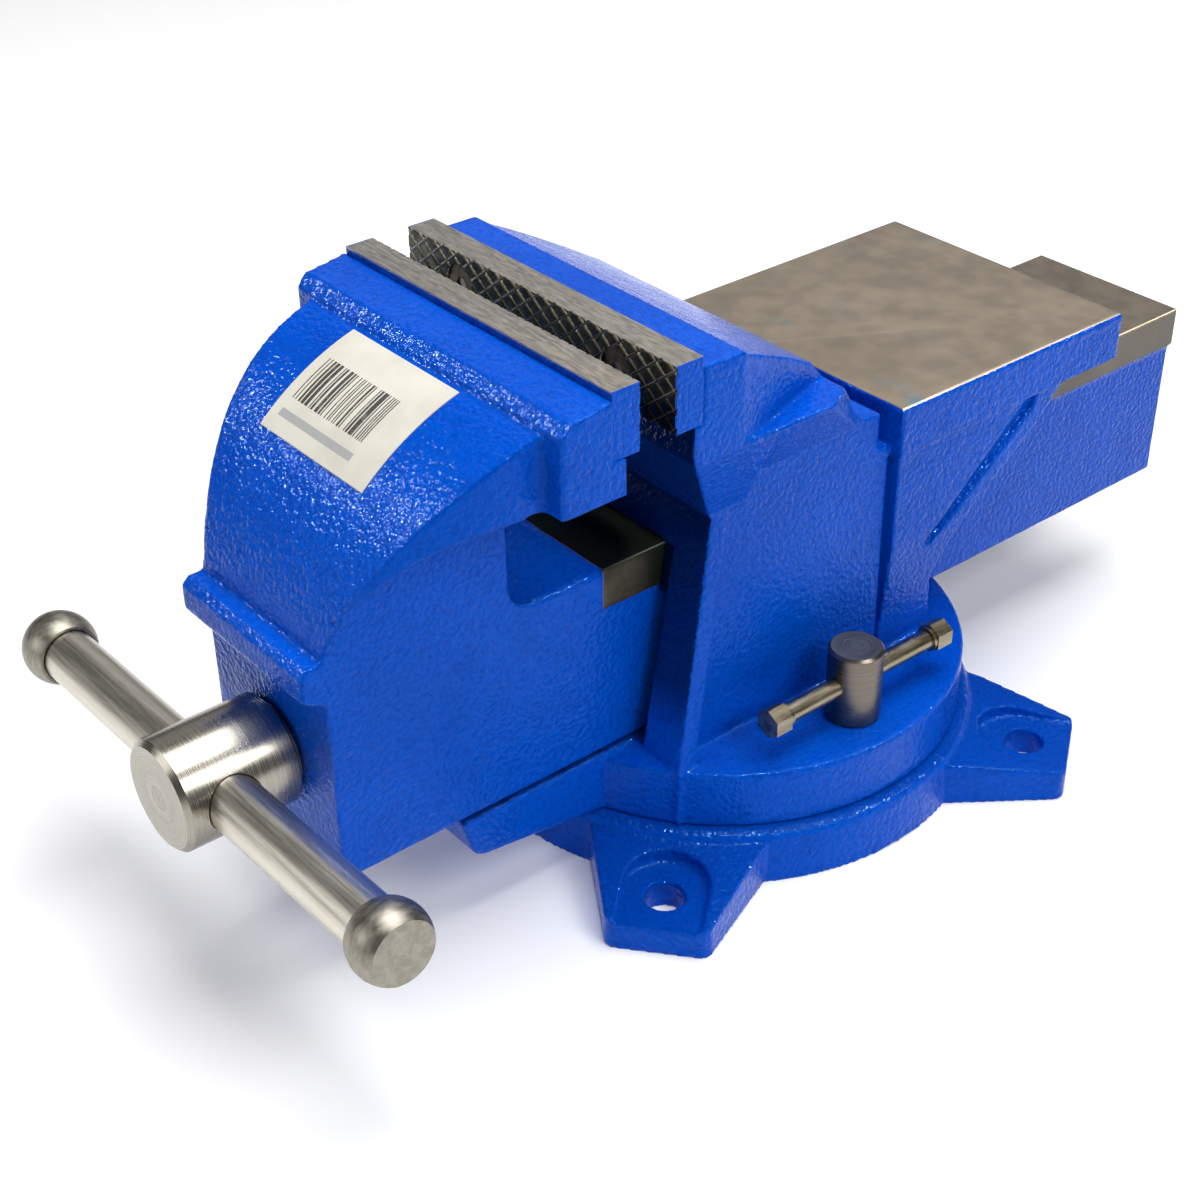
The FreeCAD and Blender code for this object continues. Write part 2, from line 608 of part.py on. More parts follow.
def plate_screw_bores(body, offset, reverse):
    """Two blind bores for the jaw plate's screws, from the plate's seat inward."""
    rounds = circles(
        body, "XZ_Plane", "screw_bores_outline",
        ("-screw_spacing / 2", "screw_level", "screw_radius + 0.03"),
        ("screw_spacing / 2", "screw_level", "screw_radius + 0.03"), offset=offset,
    )
    depth = "screw_length + screw_set_back + 1 - plate_depth"
    pocket(body, "screw_bores", rounds, depth, reverse=reverse)


# ---------------------------------------------------------------- moving casting

MOVING_FACE = "(fixed_face - jaw_gap)"
ARCH = "arch_level + sqrt(({r}) ^ 2 - (({y}) - arch_back) ^ 2)"


def make_moving_jaw():
    """Slide bar, neck, hood and cross block: one casting, hollow underneath for the spindle and its nut."""
    body = new_body("moving_jaw")
    crest = ARCH.format(r="hood_radius", y="block_front")
    foot = ARCH.format(r="hood_radius", y="bar_front")

    bar = outline(body, "XZ_Plane", "bar_section", box("bar_half", "bar_bottom", "bar_top - paint_step"),
                  offset="-bar_front")
    pad(body, "slide_bar", bar, "bar_rear - rear_inset - bar_front", reverse=True)
    round_edges(body, "bar_edges", "2.5", lambda e: near(abs(middle(e).x), "bar_half")
                and abs(e.tangentAt(e.FirstParameter).y) > 0.99)
    band = outline(body, "XZ_Plane", "band_section", box("band_half", "band_bottom", "bar_top"),
                   offset="-band_front")
    pad(body, "machined_band", band, "bar_rear - band_front", reverse=True)

    # neck and hood: one arched profile, cut away under the hood's wings and narrowed towards the front
    arched = outline(
        body, "YZ_Plane", "hood_side",
        [("bar_front", "brow_bottom"), ("neck_rear + neck_cove", "brow_bottom"),
         ("neck_rear + neck_cove", "bar_top - paint_step", "-neck_cove"),
         ("neck_rear", "bar_top - paint_step + neck_cove"), ("neck_rear", "jaw_top - plate_height"),
         ("block_front", "jaw_top - plate_height"), ("block_front", crest, "hood_radius"),
         ("bar_front", foot)],
    )
    pad(body, "hood", arched, "2 * hood_half", symmetric=True)
    under = [("brow_front - 5", "bar_bottom - 5"), ("neck_rear + 20", "bar_bottom - 5"),
             ("neck_rear + 20", "block_bottom"), ("block_front + 1", "block_bottom"),
             ("hood_bend_y", "hood_bend", "hood_under_radius"), ("hood_tip_y", "hood_tip"),
             ("brow_front - 5", "hood_tip - 1")]
    for name, start in (("right", "bar_half"), ("left", "-bar_half")):
        pocket(body, f"{name}_wing_underside",
               outline(body, "YZ_Plane", f"{name}_under_outline", under, offset=start),
               "hood_half", reverse=name == "right")
    wing = [("bar_half", "brow_front - 20"), ("hood_half + 20", "brow_front - 20"),
            ("hood_half + 20", "hood_taper_y"), ("hood_half", "hood_taper_y", "-hood_plan_radius"),
            ("bar_half", "hood_tip_y")]
    other = [("-bar_half", "hood_tip_y", "-hood_plan_radius"), ("-hood_half", "hood_taper_y"),
             ("-hood_half - 20", "hood_taper_y"), ("-hood_half - 20", "brow_front - 20"),
             ("-bar_half", "brow_front - 20")]
    pocket(body, "hood_taper", outline(body, "XY_Plane", "hood_plan", wing, other),
           "2 * jaw_top + 40", symmetric=True)
    brow = outline(
        body, "YZ_Plane", "brow_side",
        [("brow_front", "brow_bottom + 4.5"), ("bar_front - 1", "brow_bottom"),
         ("bar_front + 5", "brow_bottom"), ("bar_front + 5", "brow_top - 3"),
         ("brow_front + 3", "brow_top - 3"), ("brow_front", "brow_top - 6")],
    )
    pad(body, "brow", brow, "2 * bar_half", symmetric=True)
    plate_seat = f"({MOVING_FACE} - plate_depth)"
    block = outline(
        body, "YZ_Plane", "block_side",
        [("block_front", "block_bottom"), ("block_rear", "block_bottom"),
         ("block_rear", "jaw_top - plate_height"), (plate_seat, "jaw_top - plate_height"),
         (plate_seat, "block_shelf"), ("block_front + 4.5", "block_shelf - 2.5"),
         ("block_front", "block_edge")],
    )
    pad(body, "cross_block", block, "2 * block_half", symmetric=True)
    round_edges(body, "hood_root", "3.5", lambda e: near(abs(middle(e).x), "hood_half")
                and near(middle(e).y, "block_front") and abs(e.tangentAt(e.FirstParameter).z) > 0.99)
    round_edges(body, "block_ends", "1.2", lambda e: near(abs(middle(e).x), "block_half")
                and near(middle(e).y, "block_front"))

    wall = "-(bar_front + front_wall)"
    cavity = outline(body, "XZ_Plane", "cavity_section", box("cavity_half", "bar_bottom - 1", "cavity_roof"),
                     offset=wall)
    pocket(body, "cavity", cavity, None)
    bore = circles(body, "XZ_Plane", "spindle_bore_outline", ("0", "spindle_level", "spindle_radius + 0.08"),
                   offset="-bar_front")
    pocket(body, "spindle_bore", bore, "front_wall + 1")
    plate_screw_bores(body, f"-{plate_seat}", reverse=True)
    return body


# ---------------------------------------------------------------- jaw plates and their screws

def make_plate(name, face, inward):
    """Jaw plate with two countersunk bores; inward is +1 when the casting lies on the +Y side."""
    body = new_body(name)
    corners = box("jaw_width / 2", "jaw_top - plate_height", "jaw_top")
    blank = outline(body, "XZ_Plane", "plate_outline", corners, offset=f"-{face}")
    pad(body, "plate", blank, "plate_depth", reverse=inward > 0)
    spots = ("-screw_spacing / 2", "screw_spacing / 2")
    sink = circles(body, "XZ_Plane", "sink_outline",
                   *[(u, "screw_level", "screw_head_radius + 0.1") for u in spots], offset=f"-{face}")
    pocket(body, "head_sinks", sink, "screw_set_back", reverse=inward < 0)
    hole = circles(body, "XZ_Plane", "hole_outline",
                   *[(u, "screw_level", "screw_radius + 0.3") for u in spots], offset=f"-{face}")
    pocket(body, "screw_holes", hole, "plate_depth", reverse=inward < 0)
    chamfer_edges(body, "countersinks", "screw_head_radius - screw_radius - 0.25",
                  lambda e: near(getattr(e.Curve, "Radius", 0), "screw_radius + 0.3")
                  and near(middle(e).y, f"{face} + ({inward}) * screw_set_back"))
    chamfer_edges(body, "plate_edges", "0.4", lambda e: e.Length > size_of("plate_depth") - 1
                  and near(abs(middle(e).x), "jaw_width / 2") and near(middle(e).y, face, 0.2)
                  or near(middle(e).z, "jaw_top") and e.Length > 100)
    return body


def make_screw(name, x, face, inward):
    """Countersunk screw with a hexagon socket, along Y."""
    body = new_body(name, x, face, "screw_level")
    flip = "" if inward > 0 else "-"
    back = "screw_set_back"
    cone = "screw_head_radius - screw_radius"
    half = [(f"{back}", "0"), ("screw_length + screw_set_back", "0"),
            ("screw_length + screw_set_back", "screw_radius - 1"),
            ("screw_length + screw_set_back - 1", "screw_radius"),
            (f"{back} + {cone}", "screw_radius"), (back, "screw_head_radius")]
    if inward < 0:
        half = [(f"-({u})", v) for u, v in reversed(half)]
    section = outline(body, "YZ_Plane", "screw_section", half)
    turn(body, "screw", section, "H_Axis")
    corners = [(f"2.9 * cos({60 * i})", f"2.9 * sin({60 * i})") for i in range(6)]
    hexagon = outline(body, "XZ_Plane", "socket_outline", corners,
                      offset=f"{'-' if inward > 0 else ''}{back}")
    pocket(body, "socket", hexagon, "3.2", reverse=inward < 0)
    return body


def make_plate_screws(name, face, inward):
    pair = [make_screw(f"{name}_{side}", f"{sign}screw_spacing / 2", face, inward)
            for side, sign in (("left", "-"), ("right", ""))]
    return group(name, pair)


# ---------------------------------------------------------------- spindle, nut and handle

def on_spindle(name, turned="handle_turn"):
    """A body whose own X, Y and Z axes meet on the spindle's axis, turned with the handle."""
    body = new_body(name, z="spindle_level")
    body.Placement = FreeCAD.Placement(body.Placement.Base, FreeCAD.Rotation(FreeCAD.Vector(0, 1, 0), 1))
    body.setExpression("Placement.Rotation.Angle", bound(turned))
    return body


def make_ring(name, front, depth, bore, radius):
    body = on_spindle(name)
    section = outline(
        body, "YZ_Plane", "ring_section",
        [(front, bore), (f"{front} + {depth}", bore), (f"{front} + {depth}", f"{radius} - 0.4"),
         (f"{front} + {depth} - 0.4", radius), (f"{front} + 0.4", radius), (front, f"{radius} - 0.4")],
    )
    turn(body, "ring", section, "H_Axis")
    return body


COLLAR_FRONT = "(spring_front + spring_length)"
PIN_PLACE = f"{COLLAR_FRONT} + collar_depth / 2"


def make_spindle():
    """Tr 22 x 5 spindle, drawn at its full thread diameter, with a cross hole through its head."""
    body = on_spindle("spindle")
    shoulder = "(bar_front - fit_gap - washer_depth)"
    section = outline(
        body, "YZ_Plane", "spindle_section",
        [("head_front", "0"), ("spindle_end", "0"), ("spindle_end", "spindle_radius - 2.5"),
         ("spindle_end - 2.5", "spindle_radius"), (shoulder, "spindle_radius"),
         (shoulder, "head_radius - 0.8"), (f"{shoulder} - 0.8", "head_radius"),
         ("head_front + 2", "head_radius"), ("head_front", "head_radius - 2")],
    )
    turn(body, "spindle", section, "H_Axis")
    cross = circles(body, "YZ_Plane", "handle_hole_outline", ("handle_y", "0", "handle_hole"))
    pocket(body, "handle_hole", cross, "60", symmetric=True)
    pin = circles(body, "XY_Plane", "pin_hole_outline", ("0", PIN_PLACE, "pin_radius"))
    pocket(body, "pin_hole", pin, "60", symmetric=True)
    return body


def make_collar():
    body = make_ring("retaining_collar", COLLAR_FRONT, "collar_depth", "spindle_radius", "collar_radius")
    pin = circles(body, "XY_Plane", "pin_hole_outline", ("0", PIN_PLACE, "pin_radius"))
    pocket(body, "pin_hole", pin, "60", symmetric=True)
    return body


def make_collar_pin():
    body = on_spindle("collar_pin")
    pin = circles(body, "XY_Plane", "pin_outline", ("0", PIN_PLACE, "pin_radius"))
    pad(body, "pin", pin, "2 * collar_radius - 1", symmetric=True)
    return body


def make_spring():
    body = on_spindle("spindle_spring")
    wire = circles(body, "YZ_Plane", "wire_section", ("spring_front + wire_radius + 0.02", "spring_radius",
                                                      "wire_radius"))
    coil = body.newObject("PartDesign::AdditiveHelix", "coil")
    coil.Profile = wire
    coil.ReferenceAxis = (wire, ["H_Axis"])
    coil.Mode = "height-turns-angle"
    coil.setExpression("Height", bound("spring_length - 2 * wire_radius - 0.04"))
    coil.Turns = 4
    return body


def make_handle_bar():
    """Round bar with a turned spigot inside each knob."""
    body = on_spindle("handle_bar")
    body.setExpression("Placement.Base.y", bound("handle_y"))
    section = outline(
        body, "XZ_Plane", "bar_section",
        [("handle_left - 3", "0"), ("handle_right + 3", "0"), ("handle_right + 3", "spigot_radius"),
         ("handle_right - 6", "spigot_radius"), ("handle_right - 6", "handle_radius"),
         ("handle_left + 6", "handle_radius"), ("handle_left + 6", "spigot_radius"),
         ("handle_left - 3", "spigot_radius")],
    )
    turn(body, "bar", section, "H_Axis")
    return body


def make_knob(name, centre, turned):
    """Ball with two flats, recessed where the bar enters it."""
    body = on_spindle(name, turned)
    body.setExpression("Placement.Base.y", bound("handle_y"))
    half = "sqrt(knob_radius ^ 2 - knob_flat ^ 2)"
    section = outline(
        body, "XZ_Plane", "knob_section",
        [(f"{centre} + 3", "0"), (f"{centre} + {half}", "0"),
         (f"{centre} + {half}", "knob_flat", "knob_radius"),
         (f"{centre} - {half}", "knob_flat"), (f"{centre} - {half}", "handle_radius + 0.5"),
         (f"{centre} - 6", "handle_radius + 0.5"), (f"{centre} - 6", "spigot_radius"),
         (f"{centre} + 3", "spigot_radius")],
    )
    turn(body, "knob", section, "H_Axis")
    return body


def make_spindle_nut():
    """Nut block that stands on the passage's floor inside the hollow bar."""
    body = new_body("spindle_nut")
    top = "(spindle_level + nut_half)"
    section = outline(
        body, "XZ_Plane", "nut_section",
        [("-nut_foot_half", "floor_level"), ("nut_foot_half", "floor_level"), ("nut_foot_half", "nut_foot"),
         ("nut_half", "nut_foot + 4"), ("nut_half", f"{top} - 8"), ("nut_half - 8", top),
         ("-nut_half + 8", top), ("-nut_half", f"{top} - 8"), ("-nut_half", "nut_foot + 4"),
         ("-nut_foot_half", "nut_foot")],
        offset="-nut_front",
    )
    pad(body, "block", section, "nut_depth", reverse=True)
    bore = circles(body, "XZ_Plane", "thread_outline", ("0", "spindle_level", "spindle_radius + 0.06"),
                   offset="-nut_front")
    pocket(body, "thread_bore", bore, "nut_depth")
    middle_y = "nut_front + nut_depth / 2"
    holes = circles(
        body, "XY_Plane", "bolt_holes_outline",
        ("0", f"{middle_y} - nut_bolt_reach / 2", "nut_bolt_radius + 0.02"),
        ("0", f"{middle_y} + nut_bolt_reach / 2", "nut_bolt_radius + 0.02"), offset="floor_level",
    )
    pocket(body, "bolt_holes", holes, "nut_bolt_end + 1 - floor_level", reverse=True)
    chamfer_edges(body, "block_ends", "1",
                  lambda e: near(getattr(e.Curve, "Radius", 0), "spindle_radius + 0.06"))
    return body


def make_nut_bolt(name, sign):
    """Cap screw that comes up through the swivel disc into the nut block."""
    body = new_body(name, y=f"nut_front + nut_depth / 2 {sign} nut_bolt_reach / 2")
    section = outline(
        body, "XZ_Plane", "bolt_section",
        [("0", "nut_bolt_sink - 10"), ("nut_bolt_head - 0.6", "nut_bolt_sink - 10"),
         ("nut_bolt_head", "nut_bolt_sink - 9.4"), ("nut_bolt_head", "nut_bolt_sink"),
         ("nut_bolt_radius", "nut_bolt_sink"), ("nut_bolt_radius", "nut_bolt_end - 1"),
         ("nut_bolt_radius - 1", "nut_bolt_end"), ("0", "nut_bolt_end")],
    )
    turn(body, "bolt", section, "V_Axis")
    corners = [(f"4.6 * cos({60 * i})", f"4.6 * sin({60 * i})") for i in range(6)]
    hexagon = outline(body, "XY_Plane", "socket_outline", corners, offset="nut_bolt_sink - 10")
    pocket(body, "socket", hexagon, "5", reverse=True)
    return body


# ---------------------------------------------------------------- swivel locks

def make_lock(side, sign):
    """Lock bolt, its sliding tommy bar with two caps, and the clamp nut in the T slot."""
    place = {"x": f"{sign}lock_circle", "y": "lock_back"}
    bolt = new_body(f"lock_bolt_{side}", **place)
    section = outline(
        bolt, "XZ_Plane", "bolt_section",
        [("0", "lock_end"), ("lock_shank - 1", "lock_end"), ("lock_shank", "lock_end + 1"),
         ("lock_shank", "disc_top + fit_gap"), ("lock_head_radius - 0.5", "disc_top + fit_gap"),
         ("lock_head_radius", "disc_top + 0.5 + fit_gap"), ("lock_head_radius", "lock_head_top - 1"),
         ("lock_head_radius - 1", "lock_head_top"), ("0", "lock_head_top")],
    )
    turn(bolt, "bolt", section, "V_Axis")
    cross = circles(bolt, "XZ_Plane", "bar_hole_outline", ("0", "lock_bar_level", "lock_bar_radius + 0.08"))
    pocket(bolt, "bar_hole", cross, "40", symmetric=True)

    slid = {"x": place["x"], "y": "lock_back + lock_bar_shift", "z": "lock_bar_level"}
    bar = new_body(f"lock_bar_{side}", **slid)
    rod = circles(bar, "XZ_Plane", "bar_outline", ("0", "0", "lock_bar_radius"))
    pad(bar, "bar", rod, "2 * lock_bar_half - 3", symmetric=True)

    caps = []
    for end, way in (("front", "-"), ("rear", "")):
        cap = new_body(f"lock_cap_{side}_{end}", **slid)
        corners = [(f"lock_cap_flats / 2 / cos(30) * cos({60 * i + 30})",
                    f"lock_cap_flats / 2 / cos(30) * sin({60 * i + 30})") for i in range(6)]
        flats = outline(cap, "XZ_Plane", "cap_outline", corners,
                        offset="lock_bar_half" if way else "-lock_bar_half")
        pad(cap, "cap", flats, "lock_cap_length", reverse=bool(way))
        neck = circles(cap, "XZ_Plane", "neck_outline", ("0", "0", "lock_cap_flats / 2 - 0.3"),
                       offset=f"{'' if way else '-'}(lock_bar_half - 1)")
        pad(cap, "neck", neck, "lock_cap_length + 0.6", reverse=bool(way))
        seat = circles(cap, "XZ_Plane", "cap_bore_outline", ("0", "0", "lock_bar_radius"),
                       offset=f"{'' if way else '-'}(lock_bar_half - 1.5)")
        pocket(cap, "cap_bore", seat, "lock_cap_length + 1", reverse=not way)
        caps.append(cap)

    nut = new_body(f"clamp_nut_{side}", **place)
    block = outline(nut, "XY_Plane", "nut_outline", box("clamp_half", "-clamp_half", "clamp_half"),
                    offset="clamp_bottom")
    pad(nut, "nut", block, "clamp_top - clamp_bottom")
    hole = circles(nut, "XY_Plane", "nut_bore_outline", ("0", "0", "lock_shank + 0.05"),
                   offset="clamp_bottom")
    pocket(nut, "nut_bore", hole, None, reverse=True)
    round_edges(nut, "nut_corners", "1.5", lambda e: abs(e.tangentAt(e.FirstParameter).z) > 0.99
                and abs(middle(e).x) > size_of("lock_shank + 1"))
    return [bolt, bar, group(f"lock_bar_caps_{side}", caps), nut]


# ---------------------------------------------------------------- label

def make_label():
    """Blank sticker that follows the arch of the hood."""
    body = new_body("blank_label", x="label_x")
    near_face = "hood_radius + 0.01"
    far_face = "hood_radius + 0.01 + label_depth"
    strip = outline(
        body, "YZ_Plane", "label_side",
        [("label_high", ARCH.format(r=far_face, y="label_high"), far_face),
         ("label_low", ARCH.format(r=far_face, y="label_low")),
         ("label_low", ARCH.format(r=near_face, y="label_low"), f"-({near_face})"),
         ("label_high", ARCH.format(r=near_face, y="label_high"))],
    )
    pad(body, "label", strip, "2 * label_half", symmetric=True)
    return body


# ---------------------------------------------------------------- build, test and write

WASHER_BORE = "spindle_radius + fit_gap"
PARTS = [
    make_swivel_base(),
    make_pivot_pin(),
    make_vise_body(),
    make_plate("fixed_jaw_plate", "fixed_face", 1),
    make_plate_screws("fixed_jaw_screws", "fixed_face", 1),
    make_moving_jaw(),
    make_plate("moving_jaw_plate", MOVING_FACE, -1),
    make_plate_screws("moving_jaw_screws", MOVING_FACE, -1),
    make_spindle(),
    make_ring("thrust_washer", "(bar_front - fit_gap - washer_depth)", "washer_depth", WASHER_BORE,
              "washer_radius"),
    make_ring("spring_washer", "(bar_front + front_wall + fit_gap)",
              "(spring_front - bar_front - front_wall - fit_gap)", WASHER_BORE, "washer_radius"),
    make_spring(),
    make_collar(),
    make_collar_pin(),
    make_handle_bar(),
    make_knob("handle_knob_right", "handle_right", "handle_turn"),
    make_knob("handle_knob_left", "(-handle_left)", "handle_turn + 180"),
    make_spindle_nut(),
    group("spindle_nut_bolts", [make_nut_bolt("nut_bolt_front", "-"), make_nut_bolt("nut_bolt_rear", "+")]),
    *make_lock("right", ""),
    *make_lock("left", "-"),
    make_label(),
]
doc.recompute()


def problems():
    """Objects that failed, cuts that removed nothing and sub-parts with no valid shape."""
    found = []
    for thing in doc.Objects:
        if {"Invalid", "Error"} & set(thing.State):
            found.append(f"{thing.Name}: {thing.State}")
        if thing.TypeId in ("PartDesign::Pocket", "PartDesign::Groove"):
            if not thing.Shape.Volume < thing.BaseFeature.Shape.Volume - 0.5:
                found.append(f"{thing.Name} cuts nothing")
    for part in PARTS:
        if part.Shape.isNull() or not part.Shape.isValid():
            found.append(f"{part.Label} has no valid shape")
    return found


failed = problems()
for line in failed:
    print("PROBLEM", line)
if failed:
    raise SystemExit(1)
os.makedirs("parts", exist_ok=True)
for part in PARTS:
    part.Shape.exportStep(f"parts/{part.Label}.step")
    extent = part.Shape.BoundBox
    print(f"{part.Label:24s} {len(part.Shape.Solids)} solid  {part.Shape.Volume / 1000:9.2f} cm3  "
          f"x {extent.XMin:7.1f} {extent.XMax:7.1f}  y {extent.YMin:7.1f} {extent.YMax:7.1f}  "
          f"z {extent.ZMin:7.1f} {extent.ZMax:7.1f}")
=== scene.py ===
import math

import bmesh
import bpy
import numpy as np
from mathutils import Matrix, Vector


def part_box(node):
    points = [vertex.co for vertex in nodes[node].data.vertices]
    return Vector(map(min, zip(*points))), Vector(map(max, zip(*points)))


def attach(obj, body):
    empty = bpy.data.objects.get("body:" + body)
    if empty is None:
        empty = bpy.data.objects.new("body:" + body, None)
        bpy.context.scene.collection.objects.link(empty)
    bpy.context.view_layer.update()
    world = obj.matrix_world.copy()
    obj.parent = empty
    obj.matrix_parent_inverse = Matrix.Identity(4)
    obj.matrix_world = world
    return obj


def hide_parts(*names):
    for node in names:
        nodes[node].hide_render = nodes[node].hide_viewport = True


# Bench vise: softened castings, hatched jaw plates, threaded spindle, finishes, light and camera.
# Metres, +Z up, the spindle towards -Y.

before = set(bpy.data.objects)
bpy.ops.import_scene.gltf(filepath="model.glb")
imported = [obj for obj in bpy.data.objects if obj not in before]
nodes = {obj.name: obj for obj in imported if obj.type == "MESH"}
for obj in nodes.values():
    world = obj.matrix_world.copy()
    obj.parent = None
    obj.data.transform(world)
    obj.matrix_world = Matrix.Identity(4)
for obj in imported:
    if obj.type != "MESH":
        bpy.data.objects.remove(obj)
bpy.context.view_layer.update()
scene = bpy.context.scene
MM = 0.001

# castings
VOXEL = 0.8 * MM
SMOOTHING = 0.5          # how far one smoothing step takes a point towards its neighbours
CAST_ROUNDS = 4          # smoothing steps of a cast edge
MACHINED_ROUNDS = 1      # and of a machined one
CAST_TRIANGLES = 150000
WAVE = 0.06 * MM         # unevenness of the cast skin
WAVE_LENGTHS = [length * MM for length in (60, 42, 31, 24, 18, 14)]

# machined faces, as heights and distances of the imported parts
ANVIL_TOP = 162.5 * MM
ANVIL_EDGE = 4 * MM      # height of the anvil's crisp rim
ANVIL_FRONT = 33 * MM
GROOVE_OFFSET, GROOVE_HALF, GROOVE_INNER = 1 * MM, 3 * MM, 53 * MM     # cast groove before the anvil
BAND_BOTTOM, BAND_FRONT, BAND_TOP = 115 * MM, -93 * MM, 132 * MM
BAND_MARGIN = 2 * MM
PASSAGE_HALF, PASSAGE_FLOOR, PASSAGE_TOP = 45 * MM, 50 * MM, 133.5 * MM
FOOT_EDGE = 1.5 * MM
LOCK_CIRCLE, SLOT_REACH, SLOT_TOP = 79.7 * MM, 13.5 * MM, 14 * MM      # circular T slot of the base

# thin ends of the hood's wings: a bead's ends and radius
WING_LOW, WING_HIGH = (38.3 * MM, -207.3 * MM, 150.5 * MM), (42.3 * MM, -203.4 * MM, 160.2 * MM)
WING_BEAD = 0.95 * MM
BEAD_SIDES = 16

# cross hatching of the jaw plates
HATCH_CELL = 0.4 * MM    # mesh step of the hatched face
HATCH_PITCH = 9.25 * MM  # between parallel grooves, along the jaw
HATCH_ANGLE = math.radians(38)
HATCH_HALF = 0.75 * MM   # half width of a groove
HATCH_DEPTH = 0.9 * MM
PLATE_CHAMFER = 0.35 * MM
PLATE_CREASE = math.radians(25)
SCREW_RECESS, SCREW_GAP = 1.7 * MM, 0.2 * MM

# spindle
SPINDLE_LEVEL = 89.5 * MM
SPINDLE_RADIUS = 11 * MM
THREAD_PITCH = 5 * MM
THREAD_DEPTH = 2.3 * MM
THREAD_START, THREAD_END = -157 * MM, 215 * MM
THREAD_CHAMFER = 2.5 * MM
THREAD_SIDES, THREAD_STEPS = 40, 10      # mesh faces round the thread, and along one pitch
CREST_HALF, FLANK = 0.185, 0.13          # shares of the pitch
THREAD_CREASE = math.radians(35)

# camera and floor
CAMERA_PLACE = (0.50951, -0.47811, 0.52162)
AZIMUTH, ELEVATION, ROLL = (math.radians(angle) for angle in (50.807, 33.484, -0.686))
SENSOR_WIDTH, FOCAL_LENGTH = 36, 60.693  # millimetres, as Blender takes them
FLOOR_HALF = 6.0
GLINT_SIZE = 0.12


def rgb(r, g, b):
    """Linear colour from 0-255 display values."""
    def linear(c):
        c /= 255
        return c / 12.92 if c <= 0.04045 else ((c + 0.055) / 1.055) ** 2.4
    return (linear(r), linear(g), linear(b), 1.0)


# paint
# the last of these blues is painted shade in the pits of the peel
BLUE, LIGHT_BLUE, DEEP_BLUE, PIT_SHADE_BLUE = rgb(0, 72, 184), rgb(1, 79, 196), rgb(0, 62, 166), rgb(0, 54, 150)
# near-black blue: painted shade on the paint
PAINTED_SHADE_BLUE = rgb(2, 14, 44)
RUSTY_EDGE = rgb(158, 92, 40)
# machined iron and what lies on it
IRON, DARK_IRON, IRON_SPECK = rgb(134, 122, 106), rgb(126, 115, 99), rgb(110, 100, 86)
PAINT_SMEAR = rgb(84, 122, 140)
# dark oil colour, which also stands as painted shade on the slide bar's band
OIL_AND_SHADE = rgb(30, 38, 32)
# steels, each as its light and its dark grain
HANDLE_TONES = rgb(214, 209, 197), rgb(196, 190, 177)
SPINDLE_TONES = rgb(176, 171, 160), rgb(138, 133, 122)
KNOB_TONES = rgb(160, 155, 144), rgb(134, 129, 118)
PLAIN_TONES = rgb(160, 154, 146), rgb(110, 105, 98)
FASTENER_TONES = rgb(120, 108, 92), rgb(64, 58, 50)
LOCK_TONES = rgb(126, 119, 109), rgb(102, 95, 86)
LOCK_BAR_TONES = rgb(160, 150, 128), rgb(132, 122, 99)
PLATE_TONES = rgb(188, 178, 162), rgb(168, 158, 143)
PLATE_STAIN = rgb(150, 141, 126)
# hatched faces of the jaw plates
LAND_TONES = rgb(110, 100, 74), rgb(84, 76, 54)
GROOVE_SIDE, GROOVE_BOTTOM, GRIP_SHADE = rgb(196, 190, 172), rgb(34, 32, 28), rgb(16, 15, 12)
# label
FILM_TONES = rgb(212, 209, 198), rgb(202, 198, 186)
INK, STRIP = rgb(52, 50, 48), rgb(150, 152, 156)
# floor
FLOOR_TONES = (0.93, 0.93, 0.93, 1), (0.9, 0.9, 0.9, 1)
WHITE = (1, 1, 1, 1)


# ---------------------------------------------------------------- node helpers

